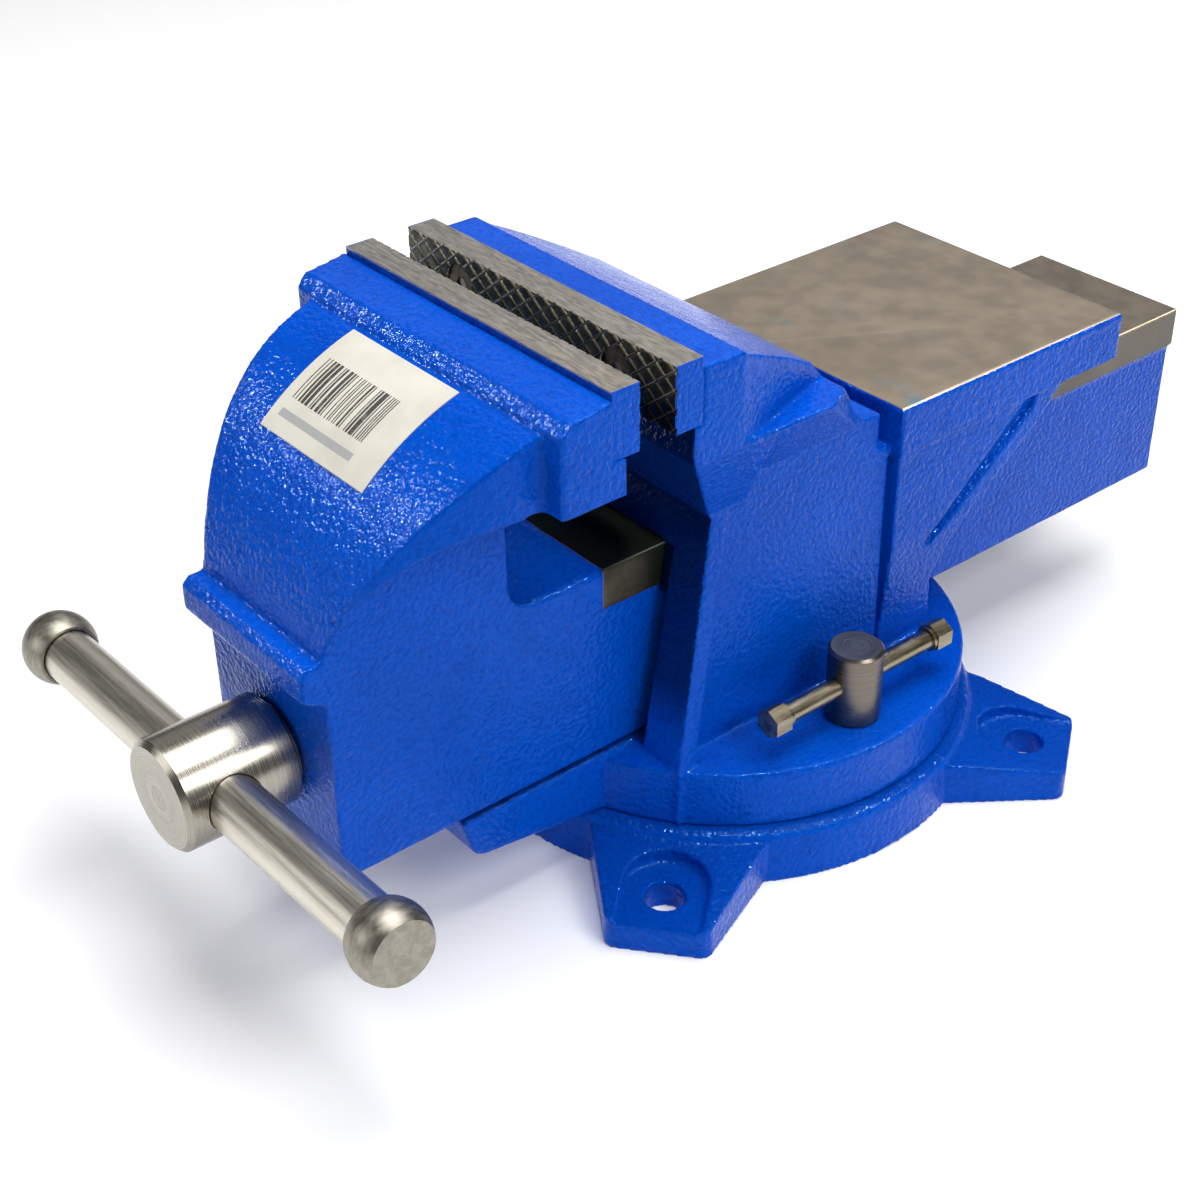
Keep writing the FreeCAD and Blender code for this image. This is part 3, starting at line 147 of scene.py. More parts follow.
class Graph:
    """A small wrapper for building a material's node tree; noise scales are per metre."""

    def __init__(self, name):
        self.material = bpy.data.materials.new(name)
        self.material.use_nodes = True
        self.tree = self.material.node_tree
        self.tree.nodes.clear()
        self.shader = self.add("ShaderNodeBsdfPrincipled")
        output = self.add("ShaderNodeOutputMaterial")
        self.link(self.shader.outputs[0], output.inputs[0])
        self.coords = self.add("ShaderNodeTexCoord").outputs["Object"]

    def add(self, kind, **settings):
        node = self.tree.nodes.new(kind)
        for name, value in settings.items():
            setattr(node, name, value)
        return node

    def link(self, out, into):
        self.tree.links.new(out, into)

    def feed(self, socket, value):
        """Link a socket to another node's output, or set it to a plain value."""
        if isinstance(value, bpy.types.NodeSocket):
            self.link(value, socket)
        else:
            socket.default_value = value

    def set(self, **values):
        """Set the shader's own sockets; underscores in a name stand for spaces."""
        for name, value in values.items():
            self.feed(self.shader.inputs[name.replace("_", " ")], value)

    def math(self, operation, a, b=0.0, clamp=False):
        node = self.add("ShaderNodeMath", operation=operation, use_clamp=clamp)
        self.feed(node.inputs[0], a)
        self.feed(node.inputs[1], b)
        return node.outputs[0]

    def product(self, first, *others):
        for other in others:
            first = self.math("MULTIPLY", first, other)
        return first

    def vector(self, operation, a, b):
        node = self.add("ShaderNodeVectorMath", operation=operation)
        self.feed(node.inputs[0], a)
        self.feed(node.inputs[1], b)
        return node.outputs[0]

    def noise(self, scale, detail=2.0, rough=0.5, at=None):
        node = self.add("ShaderNodeTexNoise")
        self.feed(node.inputs["Vector"], at or self.coords)
        node.inputs["Scale"].default_value = scale
        node.inputs["Detail"].default_value = detail
        node.inputs["Roughness"].default_value = rough
        return node.outputs["Fac"]

    def grain(self, scales, detail, rough=0.6):
        """Noise with a scale of its own along each axis."""
        return self.noise(1, detail, rough, at=self.vector("MULTIPLY", self.coords, scales))

    def ramp(self, value, low, high, to_low=0.0, to_high=1.0):
        node = self.add("ShaderNodeMapRange", clamp=True)
        node.interpolation_type = "SMOOTHSTEP"
        self.feed(node.inputs["Value"], value)
        node.inputs["From Min"].default_value = low
        node.inputs["From Max"].default_value = high
        node.inputs["To Min"].default_value = to_low
        node.inputs["To Max"].default_value = to_high
        return node.outputs["Result"]

    def spread(self, noise, to_low=0.0, to_high=1.0):
        """A noise's usual values, stretched to the whole range."""
        return self.ramp(noise, 0.3, 0.7, to_low, to_high)

    def mixed(self, kind, first, result, factor, a, b):
        """A Mix node: each kind of data has its own inputs, from the first of two on, and its own result."""
        node = self.add("ShaderNodeMix", data_type=kind)
        self.feed(node.inputs[0], factor)
        self.feed(node.inputs[first], a)
        self.feed(node.inputs[first + 1], b)
        return node.outputs[result]

    def mix(self, factor, a, b):
        """Mix two colours."""
        return self.mixed("RGBA", 6, 2, factor, a, b)

    def blend(self, factor, a, b):
        """Mix two numbers."""
        return self.mixed("FLOAT", 2, 0, factor, a, b)

    def blend_normals(self, factor, a, b):
        return self.mixed("VECTOR", 4, 1, factor, a, b)

    def bump(self, height, strength, distance, below=None):
        node = self.add("ShaderNodeBump")
        node.inputs["Strength"].default_value = strength
        node.inputs["Distance"].default_value = distance
        self.feed(node.inputs["Height"], height)
        if below is not None:
            self.link(below, node.inputs["Normal"])
        return node.outputs[0]

    def axis(self, name, source=None):
        node = self.add("ShaderNodeSeparateXYZ")
        self.feed(node.inputs[0], source or self.coords)
        return node.outputs["XYZ".index(name)]

    def wobbled(self, amount):
        """Object coordinates, moved about a little, so that a mask's border isn't ruled."""
        wave = self.add("ShaderNodeTexNoise")
        wave.inputs["Scale"].default_value = 120
        self.link(self.coords, wave.inputs["Vector"])
        shift = self.vector("SUBTRACT", wave.outputs["Color"], (0.5, 0.5, 0.5))
        return self.vector("ADD", self.coords, self.vector("MULTIPLY", shift, (amount,) * 3))

    def inside(self, low, high, soft=0.6 * MM, at=None):
        """1 inside a box of object coordinates, falling to 0 over `soft`; None leaves a side open."""
        mask = 1.0
        for name, a, b in zip("XYZ", low, high):
            value = self.axis(name, at)
            for limit, way in ((a, 1), (b, -1)):
                if limit is not None:
                    past = self.math("MULTIPLY", self.math("SUBTRACT", value, limit), way)
                    mask = self.math("MULTIPLY", mask, self.ramp(past, -soft / 2, soft / 2))
        return mask

    def facing(self, direction, least=0.7):
        """1 where the surface faces the direction, in object space."""
        geometry = self.add("ShaderNodeNewGeometry")
        turn = self.add("ShaderNodeVectorTransform", vector_type="NORMAL", convert_from="WORLD",
                        convert_to="OBJECT")
        self.link(geometry.outputs["Normal"], turn.inputs[0])
        node = self.add("ShaderNodeVectorMath", operation="DOT_PRODUCT")
        self.link(turn.outputs[0], node.inputs[0])
        node.inputs[1].default_value = direction
        return self.ramp(node.outputs["Value"], least, least + 0.15)


def box_of(node):
    """Lowest and highest corner of a CAD node at rest."""
    return (Vector(corner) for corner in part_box(node))


# ---------------------------------------------------------------- materials

def painted(g):
    """Colour, roughness and normal of thick blue gloss over cast iron."""
    flow = g.noise(11, 3)
    blotch = g.noise(60, 2)
    peel = g.math("ADD", g.noise(480, 1), g.math("MULTIPLY", g.noise(1100, 1), 0.22))
    colour = g.mix(g.spread(flow), BLUE, LIGHT_BLUE)
    colour = g.mix(g.ramp(blotch, 0.5, 0.8, 0, 0.35), colour, DEEP_BLUE)
    # painted shade: the pits of the peel are painted a darker blue
    colour = g.mix(g.ramp(peel, 0.62, 0.5, 0, 0.3), colour, PIT_SHADE_BLUE)
    rough = g.spread(g.noise(150, 2), 0.1, 0.16)
    swell = g.bump(g.noise(110, 3), 0.3, 0.6 * MM)
    return colour, rough, g.bump(peel, 1.0, 0.65 * MM, swell)


def clear_gloss(g):
    """Weak, blue-tinted shine, far below real gloss paint's: it shows only against small bright lights."""
    g.shader.inputs["IOR"].default_value = 1.17
    g.shader.inputs["Specular IOR Level"].default_value = 1.0
    g.shader.inputs["Specular Tint"].default_value = (0.2, 0.5, 1.0, 1.0)


def machined(g):
    """Colour, roughness and normal of machined cast iron with stains and fine feed lines."""
    cloud = g.noise(30, 5, 0.6)
    colour = g.mix(g.spread(cloud), IRON, DARK_IRON)
    speck = g.ramp(g.noise(800, 2, 0.7), 0.6, 0.75, 0, 0.4)
    colour = g.mix(speck, colour, IRON_SPECK)
    rough = g.spread(g.noise(90, 3), 0.5, 0.56)
    return colour, rough, g.bump(g.grain((120, 1500, 120), 2), 0.12, 0.05 * MM)


def blue_paint(name, bare=None, stain_and_shade=None, stain_and_shade_colour=None, painted_shade=None):
    """Paint; the optional masks, each made from the graph, are of machined faces, of smears and painted
    shade on them, and of paint darkened as painted shade.
    """
    g = Graph(name)
    colour, rough, normal = painted(g)
    # painted shade: the paint darkened towards near-black blue where shade falls
    if painted_shade is not None:
        colour = g.mix(painted_shade(g), colour, PAINTED_SHADE_BLUE)
    if bare is not None:
        mask = bare(g)
        iron, iron_rough, iron_normal = machined(g)
        # smears and oil on the machined faces; on the slide bar's band they are partly painted shade
        if stain_and_shade is not None:
            iron = g.mix(stain_and_shade(g), iron, stain_and_shade_colour)
        metal = g.ramp(mask, 0.35, 0.6)
        border = g.math("SUBTRACT", g.ramp(mask, 0.2, 0.4), g.ramp(mask, 0.45, 0.65), clamp=True)
        colour = g.mix(metal, colour, iron)
        colour = g.mix(g.math("MULTIPLY", border, 0.65), colour, RUSTY_EDGE)
        rough = g.blend(metal, rough, iron_rough)
        normal = g.blend_normals(metal, normal, iron_normal)
        g.set(Metallic=metal)
    g.set(Base_Color=colour, Roughness=rough, Normal=normal)
    clear_gloss(g)
    return g.material


def bare_anvil(g):
    """Machined top of the anvil."""
    low = (None, ANVIL_FRONT + 0.2 * MM, ANVIL_TOP - 1.0 * MM)
    top = g.inside(low, (None, None, None), at=g.wobbled(1.2 * MM))
    return g.product(top, g.facing((0, 0, 1)))


def anvil_smears(g):
    """Thin smears of paint on the anvil, mostly near its front."""
    streak = g.ramp(g.grain((22, 60, 20), 4), 0.56, 0.72, 0, 0.75)
    front = g.ramp(g.axis("Y"), ANVIL_FRONT, ANVIL_FRONT + 45 * MM, 1, 0.12)
    return g.product(streak, front)


def bare_band(g):
    """Machined band along the top of the slide bar."""
    low = (None, BAND_FRONT + 0.3 * MM, BAND_BOTTOM)
    return g.inside(low, (None, None, BAND_TOP + 8 * MM), at=g.wobbled(0.8 * MM))


def band_oil_and_shade(g):
    """Dark oil and painted shade on the band: heaviest in front, thinner on the sides."""
    front = g.ramp(g.axis("Y"), BAND_FRONT + 26 * MM, BAND_FRONT + 14 * MM)
    sides = g.ramp(g.axis("Z"), BAND_TOP - 0.4 * MM, BAND_TOP - 1.2 * MM)
    thin = g.product(front, sides, g.ramp(g.noise(90, 3), 0.3, 0.6, 0.12, 0.3))
    return g.math("SUBTRACT", g.ramp(g.axis("Y"), 10 * MM, -50 * MM, 0.25, 0.97), thin)


def painted_shade_passage(g):
    """Painted shade: dark paint in the slide bar's passage and under the fixed jaw plate, where they lie in
    shade.
    """
    at = g.wobbled(1.5 * MM)
    inner = g.inside((-PASSAGE_HALF, None, PASSAGE_FLOOR), (PASSAGE_HALF, None, PASSAGE_TOP), 2 * MM, at=at)
    front = g.inside((None, None, 70 * MM), (None, -30 * MM, 215 * MM), 30 * MM, at=at)
    # the painted shade grows darker higher up, from 75 % to 93 %
    thickness = g.ramp(g.axis("Z"), 130 * MM, 160 * MM, 0.75, 0.93)
    return g.math("MAXIMUM", inner, g.product(front, g.facing((0, -1, 0), 0.75), thickness))


def painted_shade_tops(g):
    """Painted shade: darker paint on the upward faces of the base."""
    return g.product(g.facing((0, 0, 1), 0.6), 0.3)


def steel(name, tones, lines, rough, depth=0.08, stains=0.3):
    """Turned or ground steel; `lines` is how fine its grain is along each axis."""
    light, dark = tones
    g = Graph(name)
    grain = g.grain(lines, 3, 0.65)
    cloud = g.noise(38, 5, 0.6)
    colour = g.mix(g.spread(grain), dark, light)
    colour = g.mix(g.ramp(cloud, 0.52, 0.78, 0, stains), colour, dark)
    g.set(Base_Color=colour, Metallic=1.0, Roughness=g.spread(grain, *rough),
          Normal=g.bump(grain, depth, 0.04 * MM))
    return g.material


def turned_face(name, tones, centre, axis, rough):
    """Steel with concentric turning marks on its end faces, round an axis through `centre`."""
    light, dark = tones
    ring_lines, side_lines = 3200.0, 3600.0
    g = Graph(name)
    offset = g.vector("SUBTRACT", g.coords, centre)
    flat = g.vector("MULTIPLY", offset, tuple(0.0 if a == axis else 1.0 for a in "XYZ"))
    length = g.add("ShaderNodeVectorMath", operation="LENGTH")
    g.link(flat, length.inputs[0])
    turned = g.add("ShaderNodeCombineXYZ")
    g.feed(turned.inputs[0], g.math("MULTIPLY", length.outputs["Value"], ring_lines))
    g.feed(turned.inputs[1], g.math("MULTIPLY", g.axis(axis, offset), side_lines))
    grain = g.noise(1, 2, 0.6, at=turned.outputs[0])
    cloud = g.noise(45, 4, 0.6)
    colour = g.mix(g.spread(grain), dark, light)
    colour = g.mix(g.ramp(cloud, 0.5, 0.78, 0, 0.3), colour, dark)
    g.set(Base_Color=colour, Metallic=1.0, Roughness=g.spread(grain, *rough),
          Normal=g.bump(grain, 0.1, 0.03 * MM))
    return g.material


def ground_top(g, grain):
    """Colour of a jaw plate's ground top and chamfers."""
    light, dark = PLATE_TONES
    cloud = g.noise(60, 4, 0.6)
    colour = g.mix(g.spread(grain), dark, light)
    return g.mix(g.ramp(cloud, 0.5, 0.75, 0, 0.4), colour, PLATE_STAIN)


def hatched_grip(g, depth, top):
    """Colour of a jaw plate's face: dull lands, bright groove sides, and a lower half painted as shaded."""
    light, dark = LAND_TONES
    land = g.mix(g.ramp(g.noise(240, 3), 0.35, 0.7), dark, light)
    colour = g.mix(g.ramp(depth, 0.15 * MM, 0.5 * MM), land, GROOVE_SIDE)
    colour = g.mix(g.ramp(depth, 0.55 * MM, 0.85 * MM), colour, GROOVE_BOTTOM)
    return g.mix(g.ramp(g.axis("Z"), top - 9 * MM, top - 21 * MM, 0, 0.85), colour, GRIP_SHADE)


def plate_steel(node, inward):
    """Ground jaw plate: grained top, dark hatched face with bright grooves, painted ends and back."""
    low, high = box_of(node)
    face = low.y if inward > 0 else high.y
    thickness = high.y - low.y
    g = Graph(f"{node}_steel")
    grain = g.grain((160, 1400, 400), 3, 0.7)
    depth = g.math("MULTIPLY", g.math("SUBTRACT", g.axis("Y"), face), inward)
    on_face = g.product(g.ramp(depth, 1.1 * MM, 0.95 * MM),
                        g.ramp(g.axis("Z"), high.z - 0.05 * MM, high.z - 0.3 * MM))
    colour = g.mix(on_face, ground_top(g, grain), hatched_grip(g, depth, high.z))
    blue, blue_rough, blue_normal = painted(g)
    ends = g.ramp(g.math("ABSOLUTE", g.axis("X")), high.x - 0.5 * MM, high.x - 0.2 * MM)
    back = g.product(g.ramp(depth, thickness - 0.4 * MM, thickness - 0.1 * MM),
                     g.ramp(g.axis("Z"), high.z - 0.5 * MM, high.z - 0.8 * MM))
    paint = g.math("MAXIMUM", ends, back)
    g.set(Base_Color=g.mix(paint, colour, blue), Metallic=g.math("SUBTRACT", 1.0, paint),
          Roughness=g.blend(paint, g.spread(grain, 0.34, 0.5), blue_rough),
          Normal=g.blend_normals(paint, g.bump(grain, 0.12, 0.05 * MM), blue_normal))
    clear_gloss(g)
    return g.material


def label_film():
    """Cream film with plain dark bars of uneven width over a grey strip."""
    bar_width, blank_share = 0.55 * MM, 0.52
    low, high = box_of("blank_label")
    width, depth = high.x - low.x, high.y - low.y
    left, right = low.x + 0.075 * width, low.x + 0.775 * width
    light, dark = FILM_TONES
    g = Graph("label_film")
    film = g.mix(g.spread(g.noise(60, 3)), light, dark)
    chance = g.add("ShaderNodeTexWhiteNoise", noise_dimensions="1D")
    g.feed(chance.inputs["W"], g.math("FLOOR", g.math("MULTIPLY", g.axis("X"), 1 / bar_width)))
    bars = g.math("GREATER_THAN", chance.outputs["Value"], blank_share)
    area = g.inside((left, high.y - 0.74 * depth, None), (right, high.y - 0.33 * depth, None), 0.15 * MM)
    ink = g.product(bars, area, g.ramp(g.noise(300, 2), 0.2, 0.5, 0.75, 0.95))
    strip = g.inside((left, high.y - 0.89 * depth, None), (right, high.y - 0.83 * depth, None), 0.15 * MM)
    film = g.mix(g.math("MULTIPLY", strip, 0.8), film, STRIP)
    g.set(Base_Color=g.mix(ink, film, INK), Roughness=g.spread(g.noise(200, 2), 0.3, 0.42),
          Normal=g.bump(g.noise(70, 2), 0.1, 0.2 * MM))
    return g.material


# ---------------------------------------------------------------- pieces

def add_piece(name, mesh, material, body, node):
    """A finished mesh that rides on a body and stands for a CAD node."""
    mesh.materials.clear()
    mesh.materials.append(material)
    mesh.shade_smooth()
    piece = bpy.data.objects.new(name, mesh)
    scene.collection.objects.link(piece)
    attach(piece, body)
    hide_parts(node)


def applied(mesh, *modifiers, weights=None):
    """The mesh with modifiers applied: each is a kind and its settings."""
    holder = bpy.data.objects.new("holder", mesh)
    scene.collection.objects.link(holder)
    if weights is not None:
        group = holder.vertex_groups.new(name="chosen")
        for value in np.unique(weights):
            group.add(np.flatnonzero(weights == value).tolist(), float(value), "REPLACE")
    for kind, settings in modifiers:
        modifier = holder.modifiers.new(kind, kind)
        for key, value in settings.items():
            setattr(modifier, key, value)
    graph = bpy.context.evaluated_depsgraph_get()
    result = bpy.data.meshes.new_from_object(holder.evaluated_get(graph), depsgraph=graph)
    bpy.data.objects.remove(holder)
    return result


def edited(mesh, edit, source=None):
    """Change a mesh by edit(bmesh), starting from its own shape or from the source's."""
    work = bmesh.new()
    work.from_mesh(source or mesh)
    edit(work)
    work.to_mesh(mesh)
    work.free()


def tidy_normals(work):
    bmesh.ops.recalc_face_normals(work, faces=work.faces)


def vectors_of(items, name):
    """One row of three numbers for each point of a mesh."""
    values = np.empty(len(items) * 3, np.float32)
    items.foreach_get(name, values)
    return values.reshape(-1, 3)


def uneven(mesh, weights, seed):
    """Move the skin in and out by a few slow waves, at most one WAVE outwards."""
    points = vectors_of(mesh.vertices, "co")
    random = np.random.default_rng(seed)
    shift = np.zeros(len(points))
    for length in WAVE_LENGTHS:
        direction = random.normal(size=3)
        direction *= 2 * math.pi / length / np.linalg.norm(direction)
        shift += np.sin(points @ direction + random.uniform(0, 2 * math.pi))
    shift = (shift / 3 - 1) * WAVE * weights
    moved = points + vectors_of(mesh.vertices, "normal") * shift[:, None]
    mesh.vertices.foreach_set("co", moved.astype(np.float32).ravel())
    mesh.update()


def casting(node, body, material, crisp, seed, prepare=None):
    """The CAD casting with rounded cast edges; crisp(points) is true on machined faces."""
    mesh = nodes[node].data.copy()
    if prepare is not None:
        edited(mesh, prepare)
    mesh = applied(mesh, ("REMESH", {"mode": "VOXEL", "voxel_size": VOXEL}))
    rough = ~crisp(vectors_of(mesh.vertices, "co"))
    mesh = applied(mesh, ("SMOOTH", {"factor": SMOOTHING, "iterations": MACHINED_ROUNDS}),
                   ("SMOOTH", {"factor": SMOOTHING, "iterations": CAST_ROUNDS, "vertex_group": "chosen"}),
                   weights=rough.astype(float))
    uneven(mesh, rough.astype(float), seed)
    share = min(1.0, CAST_TRIANGLES / (2 * len(mesh.polygons)))
    mesh = applied(mesh, ("DECIMATE", {"ratio": share}), ("WEIGHTED_NORMAL", {"weight": 50}))
    add_piece(f"{node}_cast", mesh, material, body, node)


def crisp_body(points):
    """The anvil's machined top, and the ends of the groove between it and the column."""
    x, y, z = points.T
    anvil = (z > ANVIL_TOP - ANVIL_EDGE) & (y > ANVIL_FRONT + GROOVE_OFFSET)
    groove = (np.abs(y - ANVIL_FRONT - GROOVE_OFFSET) < GROOVE_HALF) & (np.abs(x) > GROOVE_INNER)
    return anvil | groove


def crisp_jaw(points):
    """The slide bar's machined band."""
    x, y, z = points.T
    high = (z > BAND_BOTTOM - BAND_MARGIN) & (z < BAND_TOP + BAND_MARGIN)
    return high & (y > BAND_FRONT - BAND_MARGIN)


def crisp_base(points):
    """The base's foot and its circular T slot."""
    x, y, z = points.T
    slot = (np.abs(np.hypot(x, y) - LOCK_CIRCLE) < SLOT_REACH) & (z < SLOT_TOP)
    return (z < FOOT_EDGE) | slot


def wing_beads(work):
    """Round the thin ends of the hood's wings with a bead on each side."""
    for side in (-1, 1):
        low, high = (Vector((side * x, y, z)) for x, y, z in (WING_LOW, WING_HIGH))
        turn = (high - low).to_track_quat("Z", "Y").to_matrix().to_4x4()
        place = Matrix.Translation((low + high) / 2) @ turn
        bmesh.ops.create_cone(work, cap_ends=True, segments=BEAD_SIDES, radius1=WING_BEAD, radius2=WING_BEAD,
                              depth=(high - low).length, matrix=place)


def hatch_depth(x, z):
    """How deep the crossed V grooves lie at (x, z)."""
    pitch = HATCH_PITCH * math.sin(HATCH_ANGLE)
    depth = np.zeros_like(x)
    for sign in (-1, 1):
        across = x * math.sin(HATCH_ANGLE) + sign * z * math.cos(HATCH_ANGLE)
        off = np.abs((across / pitch + 0.5) % 1 - 0.5) * pitch
        depth = np.maximum(depth, np.clip(1 - off / HATCH_HALF, 0, 1) * HATCH_DEPTH)
    return depth


def grid_border(rows, columns):
    """Indices of a grid's outer points, in order round it."""
    loop = [(0, c) for c in range(columns)] + [(r, columns - 1) for r in range(1, rows)]
    loop += [(rows - 1, c) for c in range(columns - 2, -1, -1)] + [(r, 0) for r in range(rows - 2, 0, -1)]
    return [r * columns + c for r, c in loop]


def hatched_plate(node, screws, body, inward):
    """Jaw plate with real cross hatching and a recess round each screw."""
    low, high = box_of(node)
    screw_low, screw_high = box_of(screws)
    radius = (screw_high.z - screw_low.z) / 2
    face, back = (low.y, high.y) if inward > 0 else (high.y, low.y)
    columns, rows = (round((high[i] - low[i]) / HATCH_CELL) + 1 for i in (0, 2))
    x, z = np.meshgrid(np.linspace(low.x, high.x, columns), np.linspace(low.z, high.z, rows))
    depth = hatch_depth(x, z)
    for centre in (screw_low.x + radius, screw_high.x - radius):
        reach = np.hypot(x - centre, z - (screw_low.z + radius))
        depth = np.where(reach < radius + SCREW_GAP, SCREW_RECESS, depth)
    border = np.minimum(np.minimum(x - low.x, high.x - x), np.minimum(z - low.z, high.z - z))
    depth = np.maximum(depth, np.clip(PLATE_CHAMFER - border, 0, 1))
    front = np.stack([x, face + inward * depth, z], -1).reshape(-1, 3)
    ring = grid_border(rows, columns)
    behind = front[ring].copy()
    behind[:, 1] = back
    faces = [(r * columns + c, r * columns + c + 1, (r + 1) * columns + c + 1, (r + 1) * columns + c)
             for r in range(rows - 1) for c in range(columns - 1)]
    first, count = len(front), len(ring)
    faces += [(ring[i], first + i, first + (i + 1) % count, ring[(i + 1) % count]) for i in range(count)]
    faces.append(tuple(first + i for i in range(count)))
    mesh = bpy.data.meshes.new(f"{node}_hatched")
    mesh.from_pydata(np.vstack([front, behind]).tolist(), [], faces)
    edited(mesh, tidy_normals)
    add_piece(f"{node}_hatched", mesh, plate_steel(node, inward), body, node)
    mesh.set_sharp_from_angle(angle=PLATE_CREASE)


def thread_radius(phase):
    """Radius of a trapezoidal thread at a phase from 0 to 1 of its pitch."""
    flank = np.clip((np.abs(phase - 0.5) - CREST_HALF) / FLANK, 0, 1)
    return SPINDLE_RADIUS - THREAD_DEPTH * flank


def thread_ring(y):
    """Radii round the spindle at y: plain at the thread's start, chamfered at its end."""
    turns = np.arange(THREAD_SIDES) / THREAD_SIDES
    radius = thread_radius((y / THREAD_PITCH - turns) % 1)
    fade = min(1.0, (y - THREAD_START) / THREAD_PITCH)
    radius = SPINDLE_RADIUS * (1 - fade) + radius * fade
    return np.minimum(radius, SPINDLE_RADIUS - max(0.0, y - THREAD_END + THREAD_CHAMFER))


def add_thread(work):
    """Cut the plain spindle off behind its neck and go on with a helical thread."""
    everything = [*work.verts, *work.edges, *work.faces]
    bmesh.ops.bisect_plane(work, geom=everything, plane_co=(0, THREAD_START, 0), plane_no=(0, 1, 0),
                           clear_outer=True)
    angles = np.arange(THREAD_SIDES) * 2 * math.pi / THREAD_SIDES
    steps = round((THREAD_END - THREAD_START) / (THREAD_PITCH / THREAD_STEPS))
    rings = []
    for i in range(steps + 1):
        y = THREAD_START + (THREAD_END - THREAD_START) * i / steps
        radius = thread_ring(y)
        places = zip(radius * np.cos(angles), radius * np.sin(angles))
        rings.append([work.verts.new((u, y, SPINDLE_LEVEL + v)) for u, v in places])
    for near_ring, far_ring in zip(rings, rings[1:]):
        for j in range(THREAD_SIDES):
            k = (j + 1) % THREAD_SIDES
            work.faces.new((near_ring[j], near_ring[k], far_ring[k], far_ring[j]))
    work.faces.new(rings[-1])
    tidy_normals(work)


def threaded_spindle(material):
    """The spindle's turned head and plain neck from the CAD, and a helical Tr 22 x 5 thread behind them."""
    mesh = bpy.data.meshes.new("spindle_threaded")
    edited(mesh, add_thread, source=nodes["spindle"].data)
    add_piece("spindle_threaded", mesh, material, "screw", "spindle")
    mesh.set_sharp_from_angle(angle=THREAD_CREASE)


def assign(material, *names):
    for name in names:
        mesh = nodes[name].data
        mesh.materials.clear()
        mesh.materials.append(material)


body_finish = blue_paint("body_finish", bare_anvil, anvil_smears, PAINT_SMEAR, painted_shade_passage)
jaw_finish = blue_paint("jaw_finish", bare_band, band_oil_and_shade, OIL_AND_SHADE)
base_finish = blue_paint("base_finish", painted_shade=painted_shade_tops)
casting("vise_body", "body", body_finish, crisp_body, 3)
casting("moving_jaw", "jaw", jaw_finish, crisp_jaw, 5, prepare=wing_beads)
casting("swivel_base", "base", base_finish, crisp_base, 7)
hatched_plate("fixed_jaw_plate", "fixed_jaw_screws", "body", 1)
hatched_plate("moving_jaw_plate", "moving_jaw_screws", "jaw", -1)
threaded_spindle(turned_face("spindle_steel", SPINDLE_TONES, (0, 0, SPINDLE_LEVEL), "Y", (0.2, 0.32)))
assign(steel("turned_steel", HANDLE_TONES, (30, 900, 900), (0.3, 0.38), 0.04, 0.15), "handle_bar")
assign(steel("knob_steel", KNOB_TONES, (600, 260, 260), (0.38, 0.48)),
       "handle_knob_left", "handle_knob_right")
assign(steel("plain_steel", PLAIN_TONES, (200, 200, 200), (0.3, 0.45)),
       "pivot_pin", "thrust_washer", "spring_washer", "spindle_spring", "retaining_collar", "collar_pin",
       "spindle_nut", "clamp_nut_right", "clamp_nut_left")
assign(steel("fastener_steel", FASTENER_TONES, (260, 260, 260), (0.35, 0.5)),
       "fixed_jaw_screws", "moving_jaw_screws", "spindle_nut_bolts")
for side in ("right", "left"):
    bolt_low, bolt_high = box_of(f"lock_bolt_{side}")
    middle = tuple((bolt_low + bolt_high) / 2)
    assign(turned_face(f"lock_steel_{side}", LOCK_TONES, middle, "Z", (0.24, 0.36)), f"lock_bolt_{side}")
assign(steel("lock_bar_steel", LOCK_BAR_TONES, (260, 60, 260), (0.26, 0.36), 0.03, 0.15),
       "lock_bar_right", "lock_bar_left", "lock_bar_caps_right", "lock_bar_caps_left")
assign(label_film(), "blank_label")


# ---------------------------------------------------------------- floor, light and camera

def build_floor():
    light, dark = FLOOR_TONES
    mesh = bpy.data.meshes.new("floor")
    corners = [(x * FLOOR_HALF, y * FLOOR_HALF, 0) for x, y in ((-1, -1), (1, -1), (1, 1), (-1, 1))]
    mesh.from_pydata(corners, [], [(0, 1, 2, 3)])
    floor = bpy.data.objects.new("floor", mesh)
    scene.collection.objects.link(floor)
    g = Graph("floor")
    g.set(Base_Color=g.mix(g.noise(2, 2), dark, light), Roughness=0.8, Emission_Color=WHITE,
          Emission_Strength=0.1)
    mesh.materials.append(g.material)


def area_light(name, place, aim, size, power):
    data = bpy.data.lights.new(name, "AREA")
    data.shape = "RECTANGLE"
    data.size, data.size_y = size
    data.energy = power
    lamp = bpy.data.objects.new(name, data)
    lamp.location = place
    lamp.rotation_euler = (Vector(aim) - Vector(place)).to_track_quat("-Z", "Y").to_euler()
    scene.collection.objects.link(lamp)
    return lamp


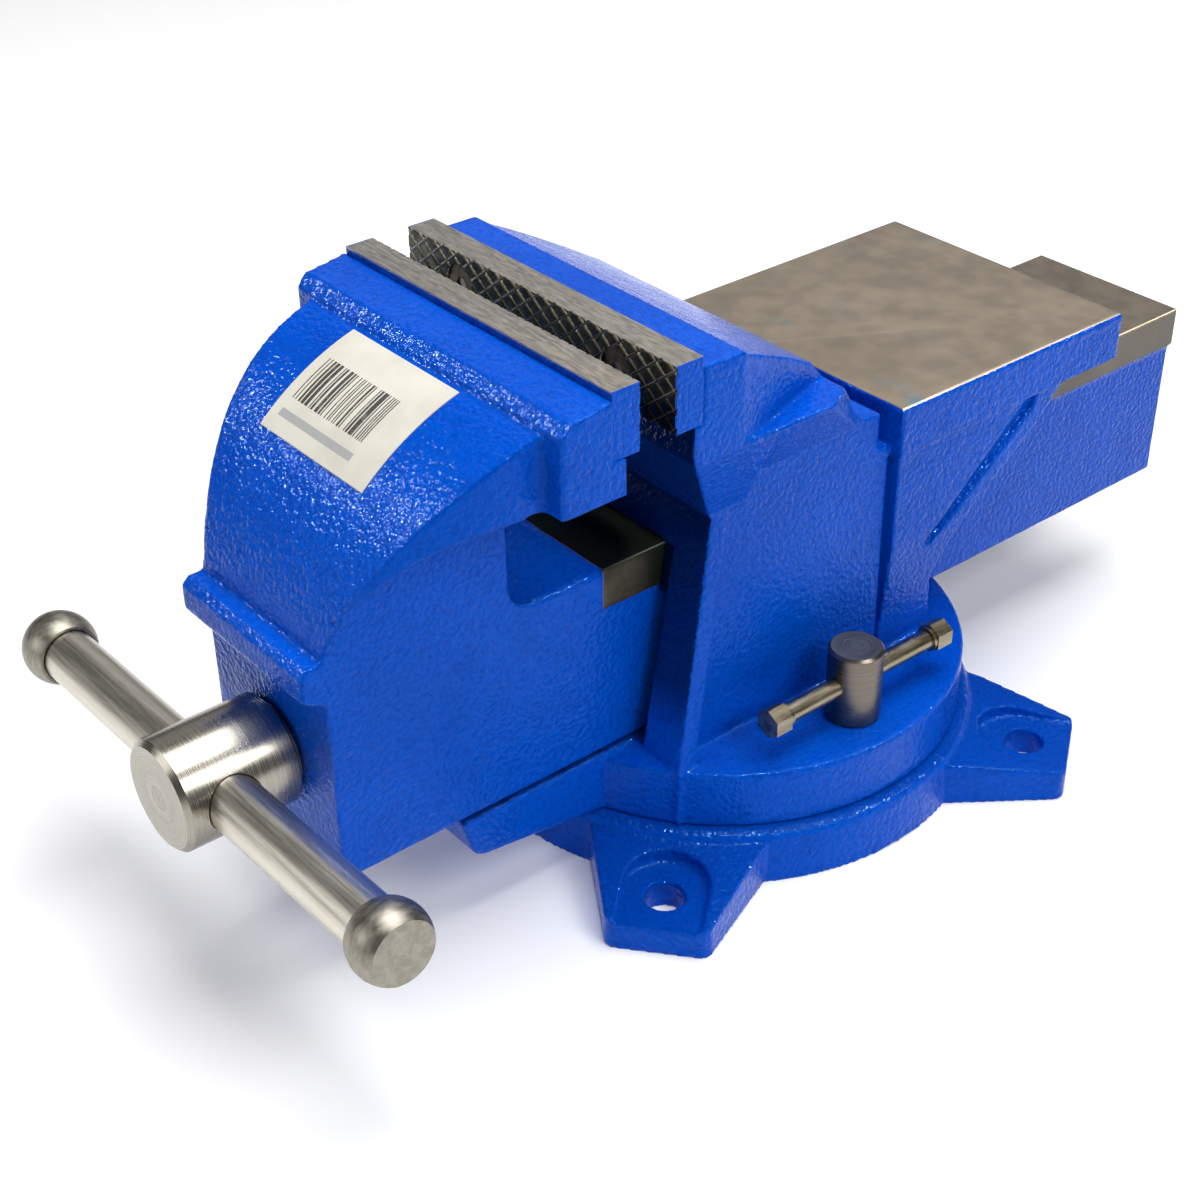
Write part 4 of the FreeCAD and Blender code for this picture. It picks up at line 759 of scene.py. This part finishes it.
def glint(name, place, power, receivers):
    """A small bright lamp that adds only shine, on the castings' paint and on their bare metal alike."""
    lamp = area_light(name, place, (0, 0, 0.12), (GLINT_SIZE, GLINT_SIZE), power)
    lamp.visible_diffuse = False
    lamp.light_linking.receiver_collection = receivers


def build_lights():
    area_light("overhead", (0, 0.2, 1.9), (0, 0, 0.1), (1.4, 1.4), 42)
    area_light("right", (1.4, 0.15, 1.35), (0, 0, 0.12), (0.9, 0.7), 15)
    area_light("front", (-0.6, -1.6, 0.7), (0, 0, 0.12), (0.9, 0.7), 6)
    area_light("behind", (-1.5, 1.3, 1.3), (0, 0, 0.15), (2.4, 1.4), 4)
    castings = bpy.data.collections.new("castings")
    for name in ("vise_body_cast", "moving_jaw_cast", "swivel_base_cast"):
        castings.objects.link(bpy.data.objects[name])
    glint("glint_right", (0.85, 0.8, 1.1), 38, castings)
    glint("glint_high", (0.75, -0.6, 1.5), 66, castings)
    glint("glint_front", (-1.0, -0.85, 0.95), 12, castings)


def build_world():
    world = bpy.data.worlds.new("studio")
    world.use_nodes = True
    background = world.node_tree.nodes["Background"]
    background.inputs["Color"].default_value = WHITE
    background.inputs["Strength"].default_value = 0.11
    scene.world = world
    scene.view_settings.view_transform = "Standard"


def build_camera():
    """The photograph's view; the azimuth runs from -Y towards +X."""
    camera = bpy.data.objects.new("camera", bpy.data.cameras.new("camera"))
    scene.collection.objects.link(camera)
    back = Vector((math.sin(AZIMUTH) * math.cos(ELEVATION), -math.cos(AZIMUTH) * math.cos(ELEVATION),
                   math.sin(ELEVATION)))
    right = Vector((math.cos(AZIMUTH), math.sin(AZIMUTH), 0))
    level = Matrix((right, back.cross(right), back)).transposed()
    turn = level @ Matrix.Rotation(ROLL, 3, "Z")
    camera.matrix_world = Matrix.Translation(CAMERA_PLACE) @ turn.to_4x4()
    camera.data.sensor_width = SENSOR_WIDTH
    camera.data.lens = FOCAL_LENGTH
    scene.camera = camera


build_floor()
build_lights()
build_world()
build_camera()
